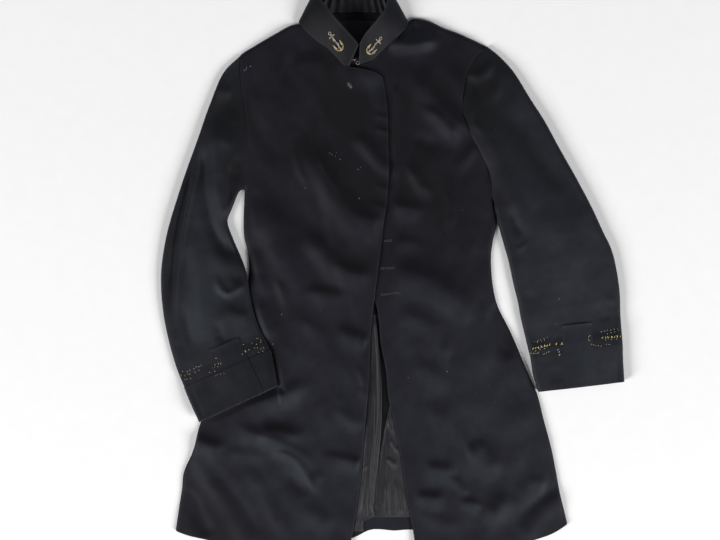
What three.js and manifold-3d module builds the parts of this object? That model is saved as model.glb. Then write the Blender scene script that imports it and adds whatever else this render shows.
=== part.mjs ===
// A naval frock tunic of dark broadcloth, laid flat on its back with the right front lapped
// over the left. Millimetres, +Z up, the neck towards +Y. "Right" is the wearer's right, at -X.
// The origin lies on the surface it rests on, under the middle of the garment.
import * as THREE from "three";
import { mergeVertices } from "three/addons/utils/BufferGeometryUtils.js";
import Module from "manifold-3d";

const wasm = await Module();
wasm.setup();

// ---- driving dimensions -----------------------------------------------------------------

const CLOTH = 1.8; // wall of a broadcloth panel with its interlining
const LINING = 1.0; // wall of a satin lining
const COLLAR_WALL = 2.2; // stiffened collar band
const GAP = 0.3; // clearance between layers and along seams
const ARMHOLE_GAP = 0.5; // between the body and the sleeve head
const SEAM_SPLIT = 0.4; // between the two halves of a sleeve
const FRONT_TOP = 5.2; // height of a front's face where it lies flat on the back
const BODY_ROLL = 7; // a front rolls down to the side and shoulder over this distance
const BACK_INSET = 3.8; // the back's side seams lie this far inside the roll
const SHOULDER_INSET = 7; // and its shoulder seams this far
const LAP_COVER = 30; // the lap is fully raised this far before the hidden edge
const LAP_RAMP = 20; // and climbs to that height over this width
const LAP_PRESS = { reach: 50, fade: 30, share: 0.85 }; // folds are flattened around the lap
const SLEEVE_LIFT = 6.4; // underside of the right sleeve where it lies on the body
const SLEEVE_RAMP = 45; // width over which it climbs there
const SLEEVE_CLEAR = 14; // and has climbed this far outside the skirt's side
const EDGE_SHARE = 0.85; // a sleeve's height beside its edges, as a share of its middle
const HIND_SEAM = { right: 24, left: 14 }; // in from the outer edge: on top, and underneath
const FORE_SEAM = 12; // in from the inner edge, underneath
const NECK_RISE = 2.4; // the collar's face stands this far above the fronts at the neck seam
const NECK_SEAM_INSET = 3; // where the fronts' height is taken, in from the neck seam
const FOLD_SEAM_HEIGHT = 4; // the neck seam's height where the collar folds at the sides
const SKIRT_PUFF = 4; // how far the skirt linings billow in the slit
const PLEAT = 1.2; // height of the pleats in the collar lining
const SLASH_WALL = 1.6; // a slash panel
const ANCHOR = { span: 15, bar: 2.4, thick: 1.0, off: 1.2, ring: 3, ringHole: 1.6 };
const WIRE = 0.5; // radius of the hook's and the eye's wire

// ---- outlines, [x, y], each running upwards or towards the neck -------------------------

const LAP_EDGE = [
  [-71, -468], [-66, -438], [-58, -394], [-50, -333], [-44, -254], [-38, -181], [-35, -103],
  [-29, -49], [-24, -7], [-19, 33], [-13, 78], [-9, 111], [-6, 156], [-7, 200], [-8, 251],
  [-13, 294], [-16, 309],
];
const HIDDEN_EDGE = [
  [40, -469], [37, -438], [26, -377], [18, -321], [7, -265], [-4, -214], [-9, -164],
  [-17, -124], [-24, -62], [-39, -36], [-58, 29], [-71, 111], [-76, 192], [-75, 274], [-68, 319],
];
const CENTRE_BACK = [[4, -427], [-6, -346], [-26, -215], [-39, -3], [-52, 192], [-63, 411]];
const SLEEVE_ON_SKIRT = { // where the right sleeve's inner edge lies on the skirt
  edge: [[-180, -230], [-186, -191], [-198, -132], [-211, -108], [-222, -80], [-230, -46], [-236, 0]],
  fade: 25,
  begins: 30,
};
const LINING_VALLEY = [[-30, -405], [-29, -378], [-24, -300], [-19, -215], [-22, -140], [-27, -70]];
const SKIRT_LINING = { low: -405, high: -75, rows: 11, columns: 7 };
const BILLOW = { clearOfEdge: 5, edgeRamp: 12, valleyRamp: 10 }; // where the linings billow
const CUT = {
  right: {
    hem: [[-352, -427], [-332, -434], [-304, -440], [-247, -455], [-198, -463], [-150, -468],
      [-101, -469], [-71, -468]],
    side: [[-352, -427], [-348, -399], [-342, -360], [-339, -333], [-324, -298], [-313, -256],
      [-291, -202], [-273, -150], [-256, -98], [-241, -52], [-233, -7], [-234, 21], [-241, 55],
      [-240, 127]],
    armhole: [[-240, 127], [-236, 168], [-234, 212], [-241, 274], [-246, 316], [-246, 346]],
    shoulder: [[-246, 346], [-242, 350], [-215, 367], [-187, 383], [-167, 394], [-150, 398]],
    neck: [[-150, 398], [-139, 383], [-121, 367], [-105, 356], [-90, 340], [-79, 329],
      [-71, 326], [-54, 323.5], [-41, 321], [-27, 316.5], [-16, 309]],
    backNeck: [[-150, 398], [-133, 404], [-109, 409], [-63, 411]],
    backHem: [[-349, -424], [-150, -458], [-63, -438], [-34, -425], [4, -427]],
  },
  left: {
    hem: [[286, -416], [263, -430], [235, -440], [209, -448], [176, -456], [128, -465],
      [79, -469], [40, -469]],
    side: [[286, -416], [282, -399], [274, -366], [268, -333], [260, -293], [248, -248],
      [237, -205], [225, -178], [210, -142], [193, -103], [173, -63], [167, -41], [163, -12],
      [162, 21], [165, 44], [172, 78], [165, 114]],
    armhole: [[165, 114], [159, 156], [134, 207], [115, 246], [116, 290], [128, 331],
      [154, 359]],
    shoulder: [[154, 359], [139, 368], [111, 381], [84, 391], [61, 402], [33, 406], [26, 400]],
    neck: [[26, 400], [23, 392], [10, 377], [-6, 361], [-17, 350], [-25, 342], [-37, 333],
      [-51, 329], [-68, 319]],
    backNeck: [[26, 400], [9, 405], [-16, 409], [-63, 411]],
    backHem: [[283, -413], [209, -444], [128, -459], [40, -431], [4, -433]],
  },
};

// ---- sections and folds -----------------------------------------------------------------

// A section across an arm, from its outer edge to its inner one. "bow" is how much of the
// armhole's curve it keeps, "high" its full height and "raise" its clearance for the cuff.
const UNDER_CUFF = GAP + CLOTH;
const ARM_COLUMNS = ["outerX", "outerY", "innerX", "innerY", "bow", "high", "raise"];
const ARM = {
  right: table(ARM_COLUMNS, [
    [-246, 346, -240, 127, 1, 5.2, 0],
    [-273, 319, -246, 126, 0.8, 7, 0],
    [-296, 266, -250, 121, 0.55, 9, 0],
    [-316, 209, -253, 114, 0.3, 11, 0],
    [-335, 156, -256, 106, 0.1, 12, 0],
    [-348, 117, -260, 96, 0, 12, 0],
    [-360, 78, -267, 76, 0, 12, 0],
    [-368, 46, -259, 50, 0, 12, 0],
    [-375, -2, -237, -3, 0, 12, 0],
    [-375, -41, -230, -46, 0, 12, 0],
    [-370, -85, -222, -80, 0, 12, 0],
    [-360, -130, -211, -108, 0, 11, 0],
    [-348, -168, -202, -124, 0, 11, UNDER_CUFF],
    [-337, -194, -198, -132, 0, 11, UNDER_CUFF],
    [-326, -219, -191, -163, 0, 11, UNDER_CUFF],
    [-312, -249, -186, -191, 0, 11, UNDER_CUFF],
  ]),
  left: table(ARM_COLUMNS, [
    [154, 359, 165, 114, 1, 5.2, 0],
    [173, 344, 168, 108, 0.85, 7, 0],
    [196, 319, 169, 101, 0.65, 9, 0],
    [224, 274, 170, 93, 0.4, 11, 0],
    [247, 238, 172, 85, 0.2, 12, 0],
    [271, 194, 173, 76, 0.05, 12, 0],
    [297, 148, 176, 66, 0, 12, 0],
    [325, 95, 183, 41, 0, 12, 0],
    [341, 60, 191, 13, 0, 12, 0],
    [356, 28, 199, -24, 0, 12, 0],
    [365, -11, 207, -57, 0, 12, 0],
    [369, -44, 211, -80, 0, 12, 0],
    [370, -77, 216, -101, 0, 11, 0],
    [372, -108, 223, -131, 0, 11, UNDER_CUFF],
    [373, -121, 226, -143, 0, 11, UNDER_CUFF],
    [374, -152, 231, -173, 0, 11, UNDER_CUFF],
    [376, -184, 239, -200, 0, 11, UNDER_CUFF],
  ]),
};
const CUFF_SECTION = { right: 13, left: 14 }; // the section where each cuff begins

// A slash panel lies on a cuff. Each corner is a place on the arm: a section, where whole numbers
// are rows of the arm's table, and a share of the arm's width from its outer edge.
const SLASH = {
  right: { top: [[11.41, 0.407], [11, 0.745]], foot: [[14.96, 0.472], [14.96, 0.828]] },
  left: { top: [[12.12, 0.301], [12.05, 0.622]], foot: [[15.95, 0.363], [15.95, 0.684]] },
};

// The collar band from its right front end round the back to its left front end: a point on
// the neck seam, and the point above it on the upper edge.
const COLLAR = table(["lies", "seamX", "seamY", "topX", "topY", "topZ"], [
  ["front", -70, 327, -55, 359, 27],
  ["front", -79, 330, -62, 368, 29],
  ["front", -90, 341, -74, 381, 31],
  ["front", -105, 357, -85, 393, 32],
  ["front", -121, 368, -96, 406, 31],
  ["front", -139, 384, -108, 423, 27],
  ["front", -148, 395, -120, 436, 20],
  ["fold", -151, 402, -126, 446, 11],
  ["back", -145, 404, -122, 454, 1],
  ["back", -109, 411, -97, 460, 0],
  ["back", -63, 412, -63, 463, 0],
  ["back", -16, 411, -29, 460, 0],
  ["back", 19, 404, -5, 454, 1],
  ["fold", 26, 402, -1, 446, 11],
  ["front", 24, 393, -6, 436, 20],
  ["front", 11, 377, -9, 419, 27],
  ["front", -6, 362, -21, 402, 31],
  ["front", -17, 351, -32, 388, 32],
  ["front", -32, 338, -43, 375, 31],
  ["front", -53, 330, -51.5, 361.5, 27],
]);
const BAND_SHARES = [0, 0.35, 0.7, 1];

// Where each anchor's ring and crown lie on the band: a collar row and a share of its height.
const ANCHOR_PLACE = {
  right: { ring: [3.5, 0.5], crown: [1.65, 0.37] },
  left: { ring: [16.45, 0.42], crown: [18.3, 0.33] },
};

// The largest folds: a ridge from one point to another, its half width and its height.
const FOLDS = table(["x1", "y1", "x2", "y2", "wide", "high"], [
  [-148, 168, -80, 44, 26, 3.0], // right chest, long ridges to the waist
  [-158, 78, -80, -41, 24, 2.5],
  [22, 308, 111, 212, 26, 2.5], // left chest
  [50, 120, 10, 70, 24, 2.0],
  [10, -29, 146, -112, 28, 3.0], // left hip
  [60, 380, -6, 366, 18, 3.0], // cloth standing off beside the collar
  [-293, -254, -118, -360, 22, 3.0], // right skirt
  [-281, -315, -198, -365, 22, 2.5],
  [-338, -333, -237, -444, 24, 3.0],
  [268, -355, 178, -422, 24, 3.0], // left skirt
  [45, -366, 144, -365, 22, 2.0],
  [-285, 78, -250, 30, 18, 2.0], // right elbow
  [-285, -30, -245, -34, 20, 2.5],
  [205, 270, 190, 120, 26, 2.0], // left upper arm
]);

// ---- geometry helpers -------------------------------------------------------------------

function table(columns, rows) {
  return rows.map((row) => Object.fromEntries(columns.map((name, k) => [name, row[k]])));
}

function mix(a, b, t) {
  return a + (b - a) * t;
}

function smoothStep(t) {
  const s = Math.min(Math.max(t, 0), 1);
  return s * s * (3 - 2 * s);
}

// Height of a rounded edge, from 0 at the edge to 1 once past its radius.
function rollAt(distance, radius) {
  const t = Math.min(distance / radius, 1);
  return Math.sqrt(1 - (1 - t) ** 2);
}

// Evenly spaced numbers, both ends included.
function spread(from, to, steps) {
  return Array.from({ length: steps + 1 }, (_, k) => mix(from, to, k / steps));
}

function smoothLine(points) {
  const knots = points.map(([x, y]) => new THREE.Vector3(x, y, 0));
  const curve = new THREE.CatmullRomCurve3(knots, false, "centripetal");
  return curve.getPoints(points.length * 6);
}

function lengthOf(line) {
  return line.slice(1).reduce((sum, point, k) => sum + point.distanceTo(line[k]), 0);
}

// The point a share of the way along a line of points.
function along(line, share) {
  let left = share * lengthOf(line);
  for (let k = 1; k < line.length; k += 1) {
    const stretch = line[k].distanceTo(line[k - 1]);
    if (left <= stretch && stretch > 0) {
      return line[k - 1].clone().lerp(line[k], left / stretch);
    }
    left -= stretch;
  }
  return line.at(-1).clone();
}

function distanceToStretch(a, b, x, y) {
  const [dx, dy] = [b.x - a.x, b.y - a.y];
  const t = ((x - a.x) * dx + (y - a.y) * dy) / (dx * dx + dy * dy || 1);
  const s = Math.min(Math.max(t, 0), 1);
  return Math.hypot(x - a.x - s * dx, y - a.y - s * dy);
}

function distanceTo(line, x, y) {
  return Math.min(...line.slice(1).map((b, k) => distanceToStretch(line[k], b, x, y)));
}

// The x of a line that climbs in y, at a given y.
function xAt(line, y) {
  const above = line.findIndex((point) => point.y >= y);
  const k = above < 0 ? line.length - 1 : Math.max(above, 1);
  const t = (y - line[k - 1].y) / (line[k].y - line[k - 1].y);
  return mix(line[k - 1].x, line[k].x, Math.min(Math.max(t, 0), 1));
}

// The same line moved sideways, to the left of its run.
function besideLine(line, distance) {
  return line.map((point, k) => {
    const run = line[Math.min(k + 1, line.length - 1)].clone().sub(line[Math.max(k - 1, 0)]);
    const aside = new THREE.Vector3(-run.y, run.x, 0).normalize();
    return point.clone().addScaledVector(aside, distance);
  });
}

// Fills four edges with a grid. Rows climb from low to high, columns run from left to right.
function fillEdges(edges, rows, columns) {
  const { left, right, low, high } = edges;
  return rows.map((v, i) => columns.map((u, j) => {
    const across = left[i].clone().lerp(right[i], u);
    const upward = low[j].clone().lerp(high[j], v);
    const lowChord = low[0].clone().lerp(low.at(-1), u);
    const highChord = high[0].clone().lerp(high.at(-1), u);
    return across.add(upward).sub(lowChord.lerp(highChord, v));
  }));
}

function lift(grid, heightAt) {
  return grid.map((row) => row.map((p) => new THREE.Vector3(p.x, p.y, heightAt(p.x, p.y))));
}

function neighbour(grid, i, j, closed) {
  const row = grid[Math.min(Math.max(i, 0), grid.length - 1)];
  return closed ? row[(j + row.length) % row.length] : row[Math.min(Math.max(j, 0), row.length - 1)];
}

// The grid moved along its own normals, no lower than the ground. A closed grid joins its
// last column to its first.
function moveOut(grid, distance, closed = false) {
  return grid.map((row, i) => row.map((point, j) => {
    const across = neighbour(grid, i, j + 1, closed).clone().sub(neighbour(grid, i, j - 1, closed));
    const upward = neighbour(grid, i + 1, j, closed).clone().sub(neighbour(grid, i - 1, j, closed));
    const moved = point.clone().addScaledVector(across.cross(upward).normalize(), distance);
    moved.z = Math.max(moved.z, 0);
    return moved;
  }));
}

// A closed wall between two grids of the same size.
function wallBetween(face, back, closed = false) {
  const [rows, columns] = [face.length, face[0].length];
  const spans = closed ? columns : columns - 1;
  const index = [];
  const f = (i, j) => i * columns + (j % columns);
  const b = (i, j) => rows * columns + f(i, j);
  const quad = (p, q, r, s) => index.push(p, q, r, p, r, s);
  for (let i = 0; i < rows - 1; i += 1) {
    for (let j = 0; j < spans; j += 1) {
      quad(f(i, j), f(i, j + 1), f(i + 1, j + 1), f(i + 1, j));
      quad(b(i, j), b(i + 1, j), b(i + 1, j + 1), b(i, j + 1));
    }
  }
  for (let j = 0; j < spans; j += 1) {
    quad(b(0, j), b(0, j + 1), f(0, j + 1), f(0, j));
    quad(f(rows - 1, j), f(rows - 1, j + 1), b(rows - 1, j + 1), b(rows - 1, j));
  }
  for (let i = 0; i < rows - 1 && !closed; i += 1) {
    quad(f(i, 0), f(i + 1, 0), b(i + 1, 0), b(i, 0));
    quad(b(i, spans), b(i + 1, spans), f(i + 1, spans), f(i, spans));
  }
  return outwards([...face.flat(), ...back.flat()], index);
}

// A closed mesh with its faces turned to point out of it.
function outwards(points, index) {
  let volume = 0;
  for (let k = 0; k < index.length; k += 3) {
    const [a, b, c] = [points[index[k]], points[index[k + 1]], points[index[k + 2]]];
    volume += a.dot(b.clone().cross(c));
  }
  const geometry = new THREE.BufferGeometry().setFromPoints(points);
  geometry.setIndex(volume < 0 ? index.reverse() : index);
  return geometry;
}

// ---- finishes and the assembly ----------------------------------------------------------

const FINISH = {
  broadcloth: { color: 0x1d2029, roughness: 0.9, metalness: 0 },
  satin: { color: 0x26242a, roughness: 0.45, metalness: 0 },
  bullion: { color: 0xb08a3c, roughness: 0.4, metalness: 0.9 },
  wire: { color: 0x8d8a84, roughness: 0.35, metalness: 0.9 },
};
const tunic = new THREE.Group();

function sew(name, finish, geometry) {
  const piece = new THREE.Mesh(geometry, new THREE.MeshStandardMaterial(FINISH[finish]));
  piece.name = name;
  tunic.add(piece);
}

// ---- heights of the fronts --------------------------------------------------------------

const lapEdge = smoothLine(LAP_EDGE);
const hiddenEdge = smoothLine(HIDDEN_EDGE);
const centreBack = smoothLine(CENTRE_BACK);
const lines = {};
for (const side of ["right", "left"]) {
  const named = Object.entries(CUT[side]).map(([name, points]) => [name, smoothLine(points)]);
  lines[side] = Object.fromEntries(named);
}

function foldHeight(x, y) {
  return FOLDS.reduce((sum, fold) => {
    const away = distanceToStretch({ x: fold.x1, y: fold.y1 }, { x: fold.x2, y: fold.y2 }, x, y);
    return sum + fold.high * Math.exp(-2 * (away / fold.wide) ** 2);
  }, 0);
}

// 1 where the two fronts lie on each other, 0 clear of there: folds are pressed flat.
function lapShare(x, y) {
  const pastHidden = smoothStep((x - xAt(hiddenEdge, y) + LAP_PRESS.reach) / LAP_PRESS.fade);
  const beforeLap = smoothStep((xAt(lapEdge, y) + LAP_PRESS.fade - x) / LAP_PRESS.fade);
  return pastHidden * beforeLap;
}

// 0 where the right sleeve lies on the skirt, 1 clear of it.
const sleeveInnerEdge = smoothLine(SLEEVE_ON_SKIRT.edge);

function clearOfSleeve(x, y) {
  const inward = smoothStep((x - xAt(sleeveInnerEdge, y)) / SLEEVE_ON_SKIRT.fade);
  const below = smoothStep((sleeveInnerEdge[0].y - SLEEVE_ON_SKIRT.fade - y) / SLEEVE_ON_SKIRT.fade);
  return Math.max(inward, below);
}

function lapRaise(x, y) {
  const covered = x - xAt(hiddenEdge, y) + LAP_COVER + LAP_RAMP;
  return (CLOTH + GAP) * smoothStep(covered / LAP_RAMP);
}

function frontTop(side, x, y) {
  const slack = side === "right" ? clearOfSleeve(x, y) : 1;
  const folds = foldHeight(x, y) * (1 - LAP_PRESS.share * lapShare(x, y)) * slack;
  const raised = side === "right" ? lapRaise(x, y) : 0;
  const sideRoll = rollAt(distanceTo(lines[side].side, x, y), BODY_ROLL);
  const shoulderRoll = rollAt(distanceTo(lines[side].shoulder, x, y), BODY_ROLL);
  return (FRONT_TOP + folds + raised) * sideRoll * shoulderRoll;
}

// ---- fronts and backs -------------------------------------------------------------------

// Rows climb the side seam, then the armhole, where they meet the stations of the sleeve head;
// the closest ones round the shoulder.
const SIDE_SHARE = 0.72;
const SIDE_ROW_COUNT = 14;
const SIDE_ROWS = spread(0, 1, SIDE_ROW_COUNT);
const SHOULDER_ROWS = [0.965, 0.988, 0.9975, 1];
const BACK_SHOULDER_ROWS = [0.965, 0.98];
const ROLL_COLUMNS = [0, 0.0022, 0.011, 0.03];
const NECK_COLUMN = 0.014; // the roll ends this far past the neck corner

// Shares up an armhole of the sleeve head's stations on one face, below the shoulder's rows.
function headShares(side, face) {
  const [head] = ARM[side];
  const { width } = armSection(head);
  const shares = stationsRound(side, width, head.high)
    .filter((station) => station.face === face)
    .map((station) => 1 - station.inward / width)
    .sort((a, b) => a - b);
  const apart = (share, k) => k === 0 || share - shares[k - 1] > 2 * SEAM_SPLIT / width;
  return shares.filter((share, k) => apart(share, k) && share < SHOULDER_ROWS[0] - 0.02);
}

const armholeRows = {};
const backArmholeRows = {};
for (const side of ["right", "left"]) {
  armholeRows[side] = [...headShares(side, "top"), ...SHOULDER_ROWS];
  const clearArmpit = (share) => share * lengthOf(lines[side].armhole) > 2 * BACK_INSET;
  const backShares = headShares(side, "under").filter(clearArmpit);
  backArmholeRows[side] = [...backShares, ...BACK_SHOULDER_ROWS];
}

function outerEdge(side, armhole, upperRows) {
  return [
    ...SIDE_ROWS.map((share) => along(side, share)),
    ...upperRows.map((share) => along(armhole, share)),
  ];
}

function panelRows(upperRows) {
  const upper = upperRows.map((share) => mix(SIDE_SHARE, 1, share / upperRows.at(-1)));
  return [...SIDE_ROWS.map((share) => share * SIDE_SHARE), ...upper];
}

// A body panel's plan between its outer edge and its middle edge, in shares from the outside
// in. Panels on the left side are turned round, so that every grid runs towards +X.
function bodyPlan(side, outer, middle, low, high, rows, columns) {
  const middleEdge = rows.map((v) => along(middle, v));
  const lowEdge = columns.map((u) => along(low, u));
  const highEdge = columns.map((u) => along(high, u));
  const edges = { left: outer, right: middleEdge, low: lowEdge, high: highEdge };
  const plan = fillEdges(edges, rows, columns);
  return side === "right" ? plan : plan.map((row) => row.toReversed());
}

function front(side, middle) {
  const { hem, side: sideSeam, armhole, shoulder, neck } = lines[side];
  const high = [...shoulder, ...neck];
  const neckPoint = lengthOf(shoulder) / lengthOf(high);
  const columns = [
    ...ROLL_COLUMNS,
    ...spread(ROLL_COLUMNS.at(-1), neckPoint, 3).slice(1),
    ...spread(neckPoint + NECK_COLUMN, 1, 5),
  ];
  const outer = outerEdge(sideSeam, armhole, armholeRows[side]);
  const plan = bodyPlan(side, outer, middle, hem, high, panelRows(armholeRows[side]), columns);
  const face = lift(plan, (x, y) => frontTop(side, x, y));
  sew(`front_${side}`, "broadcloth", wallBetween(face, moveOut(face, -CLOTH)));
}

function back(side, middle) {
  const { side: sideSeam, armhole, shoulder, backHem, backNeck } = lines[side];
  const inward = side === "right" ? -1 : 1;
  const insetSide = besideLine(sideSeam, inward * BACK_INSET);
  const insetShoulder = besideLine(shoulder, inward * SHOULDER_INSET);
  const clearNeck = backNeck.filter((point) => point.distanceTo(backNeck[0]) > SHOULDER_INSET);
  const high = [...insetShoulder, ...clearNeck];
  const neckPoint = lengthOf(insetShoulder) / lengthOf(high);
  const columns = [...spread(0, neckPoint, 2), ...spread(neckPoint, 1, 2).slice(1)];
  const outer = outerEdge(insetSide, armhole, backArmholeRows[side]);
  const rows = panelRows(backArmholeRows[side]);
  const plan = bodyPlan(side, outer, middle, backHem, high, rows, columns);
  const face = lift(plan, () => CLOTH);
  sew(`back_${side}`, "broadcloth", wallBetween(face, lift(plan, () => 0)));
}

front("right", lapEdge);
front("left", hiddenEdge);
back("right", besideLine(centreBack, GAP / 2));
back("left", besideLine(centreBack, -GAP / 2));

// ---- linings that show ------------------------------------------------------------------

// A lining between two edges that climb, from one height to another up the garment.
function liningPanel(name, leftEdge, rightEdge, rows, columns, heightAt) {
  const plan = rows.map((y) => columns.map((u) => {
    return new THREE.Vector3(mix(leftEdge(y), rightEdge(y), u), y, 0);
  }));
  const face = lift(plan, (x, y) => heightAt(x, y) + LINING);
  sew(name, "satin", wallBetween(face, lift(plan, heightAt)));
}

const valley = smoothLine(LINING_VALLEY);
const LINING_UNDER_FRONT = 20; // how far the skirt linings run on beneath the fronts

// The skirt linings billow between the slit's edges and dip to the valley between them.
function skirtLiningHeight(x, y) {
  const insideSlit = Math.min(x - xAt(lapEdge, y), xAt(hiddenEdge, y) - x);
  const offEdges = smoothStep((insideSlit - BILLOW.clearOfEdge) / BILLOW.edgeRamp);
  const offValley = smoothStep(Math.abs(x - xAt(valley, y)) / BILLOW.valleyRamp);
  return CLOTH + GAP + SKIRT_PUFF * offEdges * offValley;
}

const skirtRows = spread(SKIRT_LINING.low, SKIRT_LINING.high, SKIRT_LINING.rows);
const skirtColumns = spread(0, 1, SKIRT_LINING.columns);
const outerRight = (y) => xAt(lapEdge, y) - LINING_UNDER_FRONT;
const outerLeft = (y) => xAt(hiddenEdge, y) + LINING_UNDER_FRONT;
const valleyRight = (y) => xAt(valley, y) - GAP;
const valleyLeft = (y) => xAt(valley, y) + GAP;
for (const [name, from, to] of [
  ["skirt_lining_right", outerRight, valleyRight],
  ["skirt_lining_left", valleyLeft, outerLeft],
]) {
  liningPanel(name, from, to, skirtRows, skirtColumns, skirtLiningHeight);
}

// The neck lining is a shield on the inside of the back, below the collar.
const NECK_SHIELD = { middle: -63, low: 306, high: 402, halfWidth: 66, roundness: 0.96 };

function shieldHalfWidth(y) {
  const down = (NECK_SHIELD.high - y) / (NECK_SHIELD.high - NECK_SHIELD.low);
  return NECK_SHIELD.halfWidth * Math.sqrt(1 - (down * NECK_SHIELD.roundness) ** 2);
}

const shieldRows = spread(NECK_SHIELD.low, NECK_SHIELD.high, 6);
const shieldLeft = (y) => NECK_SHIELD.middle - shieldHalfWidth(y);
const shieldRight = (y) => NECK_SHIELD.middle + shieldHalfWidth(y);
liningPanel("neck_lining", shieldLeft, shieldRight, shieldRows, spread(0, 1, 6), () => CLOTH + GAP);

// ---- sleeves and cuffs ------------------------------------------------------------------

// The ground under an arm: the right sleeve climbs onto the side of the skirt.
function restHeight(side, x, y) {
  const besideBody = smoothStep((SLEEVE_ON_SKIRT.begins - y) / SLEEVE_ON_SKIRT.begins);
  const beyondSide = x - xAt(lines.right.side, y) + SLEEVE_CLEAR;
  const ontoBody = smoothStep((beyondSide + SLEEVE_RAMP) / SLEEVE_RAMP);
  return side === "right" ? SLEEVE_LIFT * besideBody * ontoBody : 0;
}

// Stations round a section: how far in from the outer edge, how high, and which half of the
// sleeve they belong to. They run from the inner edge over the top and back underneath.
function stationsRound(side, width, high) {
  const edge = (high * EDGE_SHARE) / 2;
  const hind = HIND_SEAM[side];
  const half = SEAM_SPLIT / 2;
  const onTop = side === "right";
  const topStops = onTop
    ? [...spread(width - edge, hind + half, 5), hind - half, edge]
    : spread(width - edge, edge, 6);
  const foreStops = [width - FORE_SEAM - half, width - FORE_SEAM + half, width - edge];
  const underStops = onTop
    ? [...spread(edge, foreStops[0], 4), ...foreStops.slice(1)]
    : [edge, hind - half, ...spread(hind + half, foreStops[0], 3), ...foreStops.slice(1)];
  const top = topStops.map((inward) => ({
    inward,
    z: high * mix(EDGE_SHARE, 1, Math.sin((Math.PI * inward) / width)),
    face: "top",
    under: onTop && inward < hind,
  }));
  const under = underStops.map((inward) => ({
    inward,
    z: 0,
    face: "under",
    under: inward < width - FORE_SEAM && (onTop || inward > hind),
  }));
  const turns = [0.25, 0.5, 0.75].map((share) => share * Math.PI);
  const outer = turns.map((a) => ({
    inward: edge - edge * Math.sin(a),
    z: edge + edge * Math.cos(a),
    under: onTop,
  }));
  const inner = turns.toReversed().map((a) => ({
    inward: width - edge + edge * Math.sin(a),
    z: edge + edge * Math.cos(a),
    under: false,
  }));
  return [...top, ...outer, ...under, ...inner];
}

function armSection(row) {
  const outer = new THREE.Vector3(row.outerX, row.outerY, 0);
  const inner = new THREE.Vector3(row.innerX, row.innerY, 0);
  return { outer, inner, width: outer.distanceTo(inner) };
}

// An armhole as the fronts or the backs have it, from the shoulder down to the armpit.
function armholeLine(side, rows) {
  const shares = [0, ...rows, ...(rows.at(-1) < 1 ? [1] : [])].toReversed();
  const outward = new THREE.Vector3(side === "right" ? -ARMHOLE_GAP : ARMHOLE_GAP, 0, 0);
  return shares.map((share) => along(lines[side].armhole, share).add(outward));
}

const holes = {};
for (const side of ["right", "left"]) {
  const top = armholeLine(side, armholeRows[side]);
  const under = armholeLine(side, backArmholeRows[side]);
  holes[side] = { top, under };
}

// A place across a section, in plan, with the armhole's bow.
function acrossArm(side, row, share, face = "top") {
  const { outer, inner } = armSection(row);
  const hole = holes[side][face];
  const bow = along(hole, share).sub(hole[0].clone().lerp(hole.at(-1), share));
  return outer.lerp(inner, share).addScaledVector(bow, row.bow);
}

function armRing(side) {
  return ARM[side].map((row, k) => {
    const { width } = armSection(row);
    const seamRow = k === 0 ? { ...row, ...armholeEnds(side) } : row;
    return stationsRound(side, width, row.high).map((station) => {
      const place = acrossArm(side, seamRow, station.inward / width, station.face);
      const folds = station.face === "top" ? foldHeight(place.x, place.y) : 0;
      place.z = restHeight(side, place.x, place.y) + row.raise + station.z + folds;
      return place;
    });
  });
}

function armholeEnds(side) {
  const [shoulderEnd, armpit] = [holes[side].top[0], holes[side].top.at(-1)];
  return { outerX: shoulderEnd.x, outerY: shoulderEnd.y, innerX: armpit.x, innerY: armpit.y };
}

// A row of the arm's table between two of its sections.
function rowBetween(side, position) {
  const k = Math.min(Math.floor(position), ARM[side].length - 2);
  const [a, b] = [ARM[side][k], ARM[side][k + 1]];
  return Object.fromEntries(ARM_COLUMNS.map((name) => [name, mix(a[name], b[name], position - k)]));
}

function armTop(side, position, share) {
  const row = rowBetween(side, position);
  const place = acrossArm(side, row, share);
  const crown = row.high * mix(EDGE_SHARE, 1, Math.sin(Math.PI * share));
  place.z = restHeight(side, place.x, place.y) + row.raise + crown;
  return place;
}

function pick(grid, wanted) {
  return grid.map((row) => wanted.map((k) => row[k]));
}

// The head's wall is cut square, along its section, so that it keeps off the body.
function squareHead(side, ring, inside) {
  const { outer, inner } = armSection(ARM[side][0]);
  const chord = inner.sub(outer).normalize();
  const head = ring[0].map((point, k) => {
    const wall = inside[0][k].clone().sub(point);
    const square = chord.clone().multiplyScalar(wall.dot(chord)).setZ(wall.z);
    return point.clone().add(square);
  });
  return [head, ...inside.slice(1)];
}

function sleeve(side) {
  const ring = armRing(side);
  const facing = side === "right" ? 1 : -1;
  const inside = squareHead(side, ring, moveOut(ring, -CLOTH * facing, true));
  const [head] = ARM[side];
  const stations = stationsRound(side, armSection(head).width, head.high);
  const numbers = stations.map((_, k) => k);
  const under = numbers.filter((k) => stations[k].under);
  const after = numbers.filter((k) => k > under.at(-1));
  const before = numbers.filter((k) => k < under[0]);
  const top = [...after, ...before];
  sew(`sleeve_top_${side}`, "broadcloth", wallBetween(pick(ring, top), pick(inside, top)));
  sew(`sleeve_under_${side}`, "broadcloth", wallBetween(pick(ring, under), pick(inside, under)));
  const cuffOut = moveOut(ring, (GAP + CLOTH) * facing, true).slice(CUFF_SECTION[side]);
  const cuffIn = moveOut(ring, GAP * facing, true).slice(CUFF_SECTION[side]);
  sew(`cuff_${side}`, "broadcloth", wallBetween(cuffOut, cuffIn, true));
}

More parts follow.
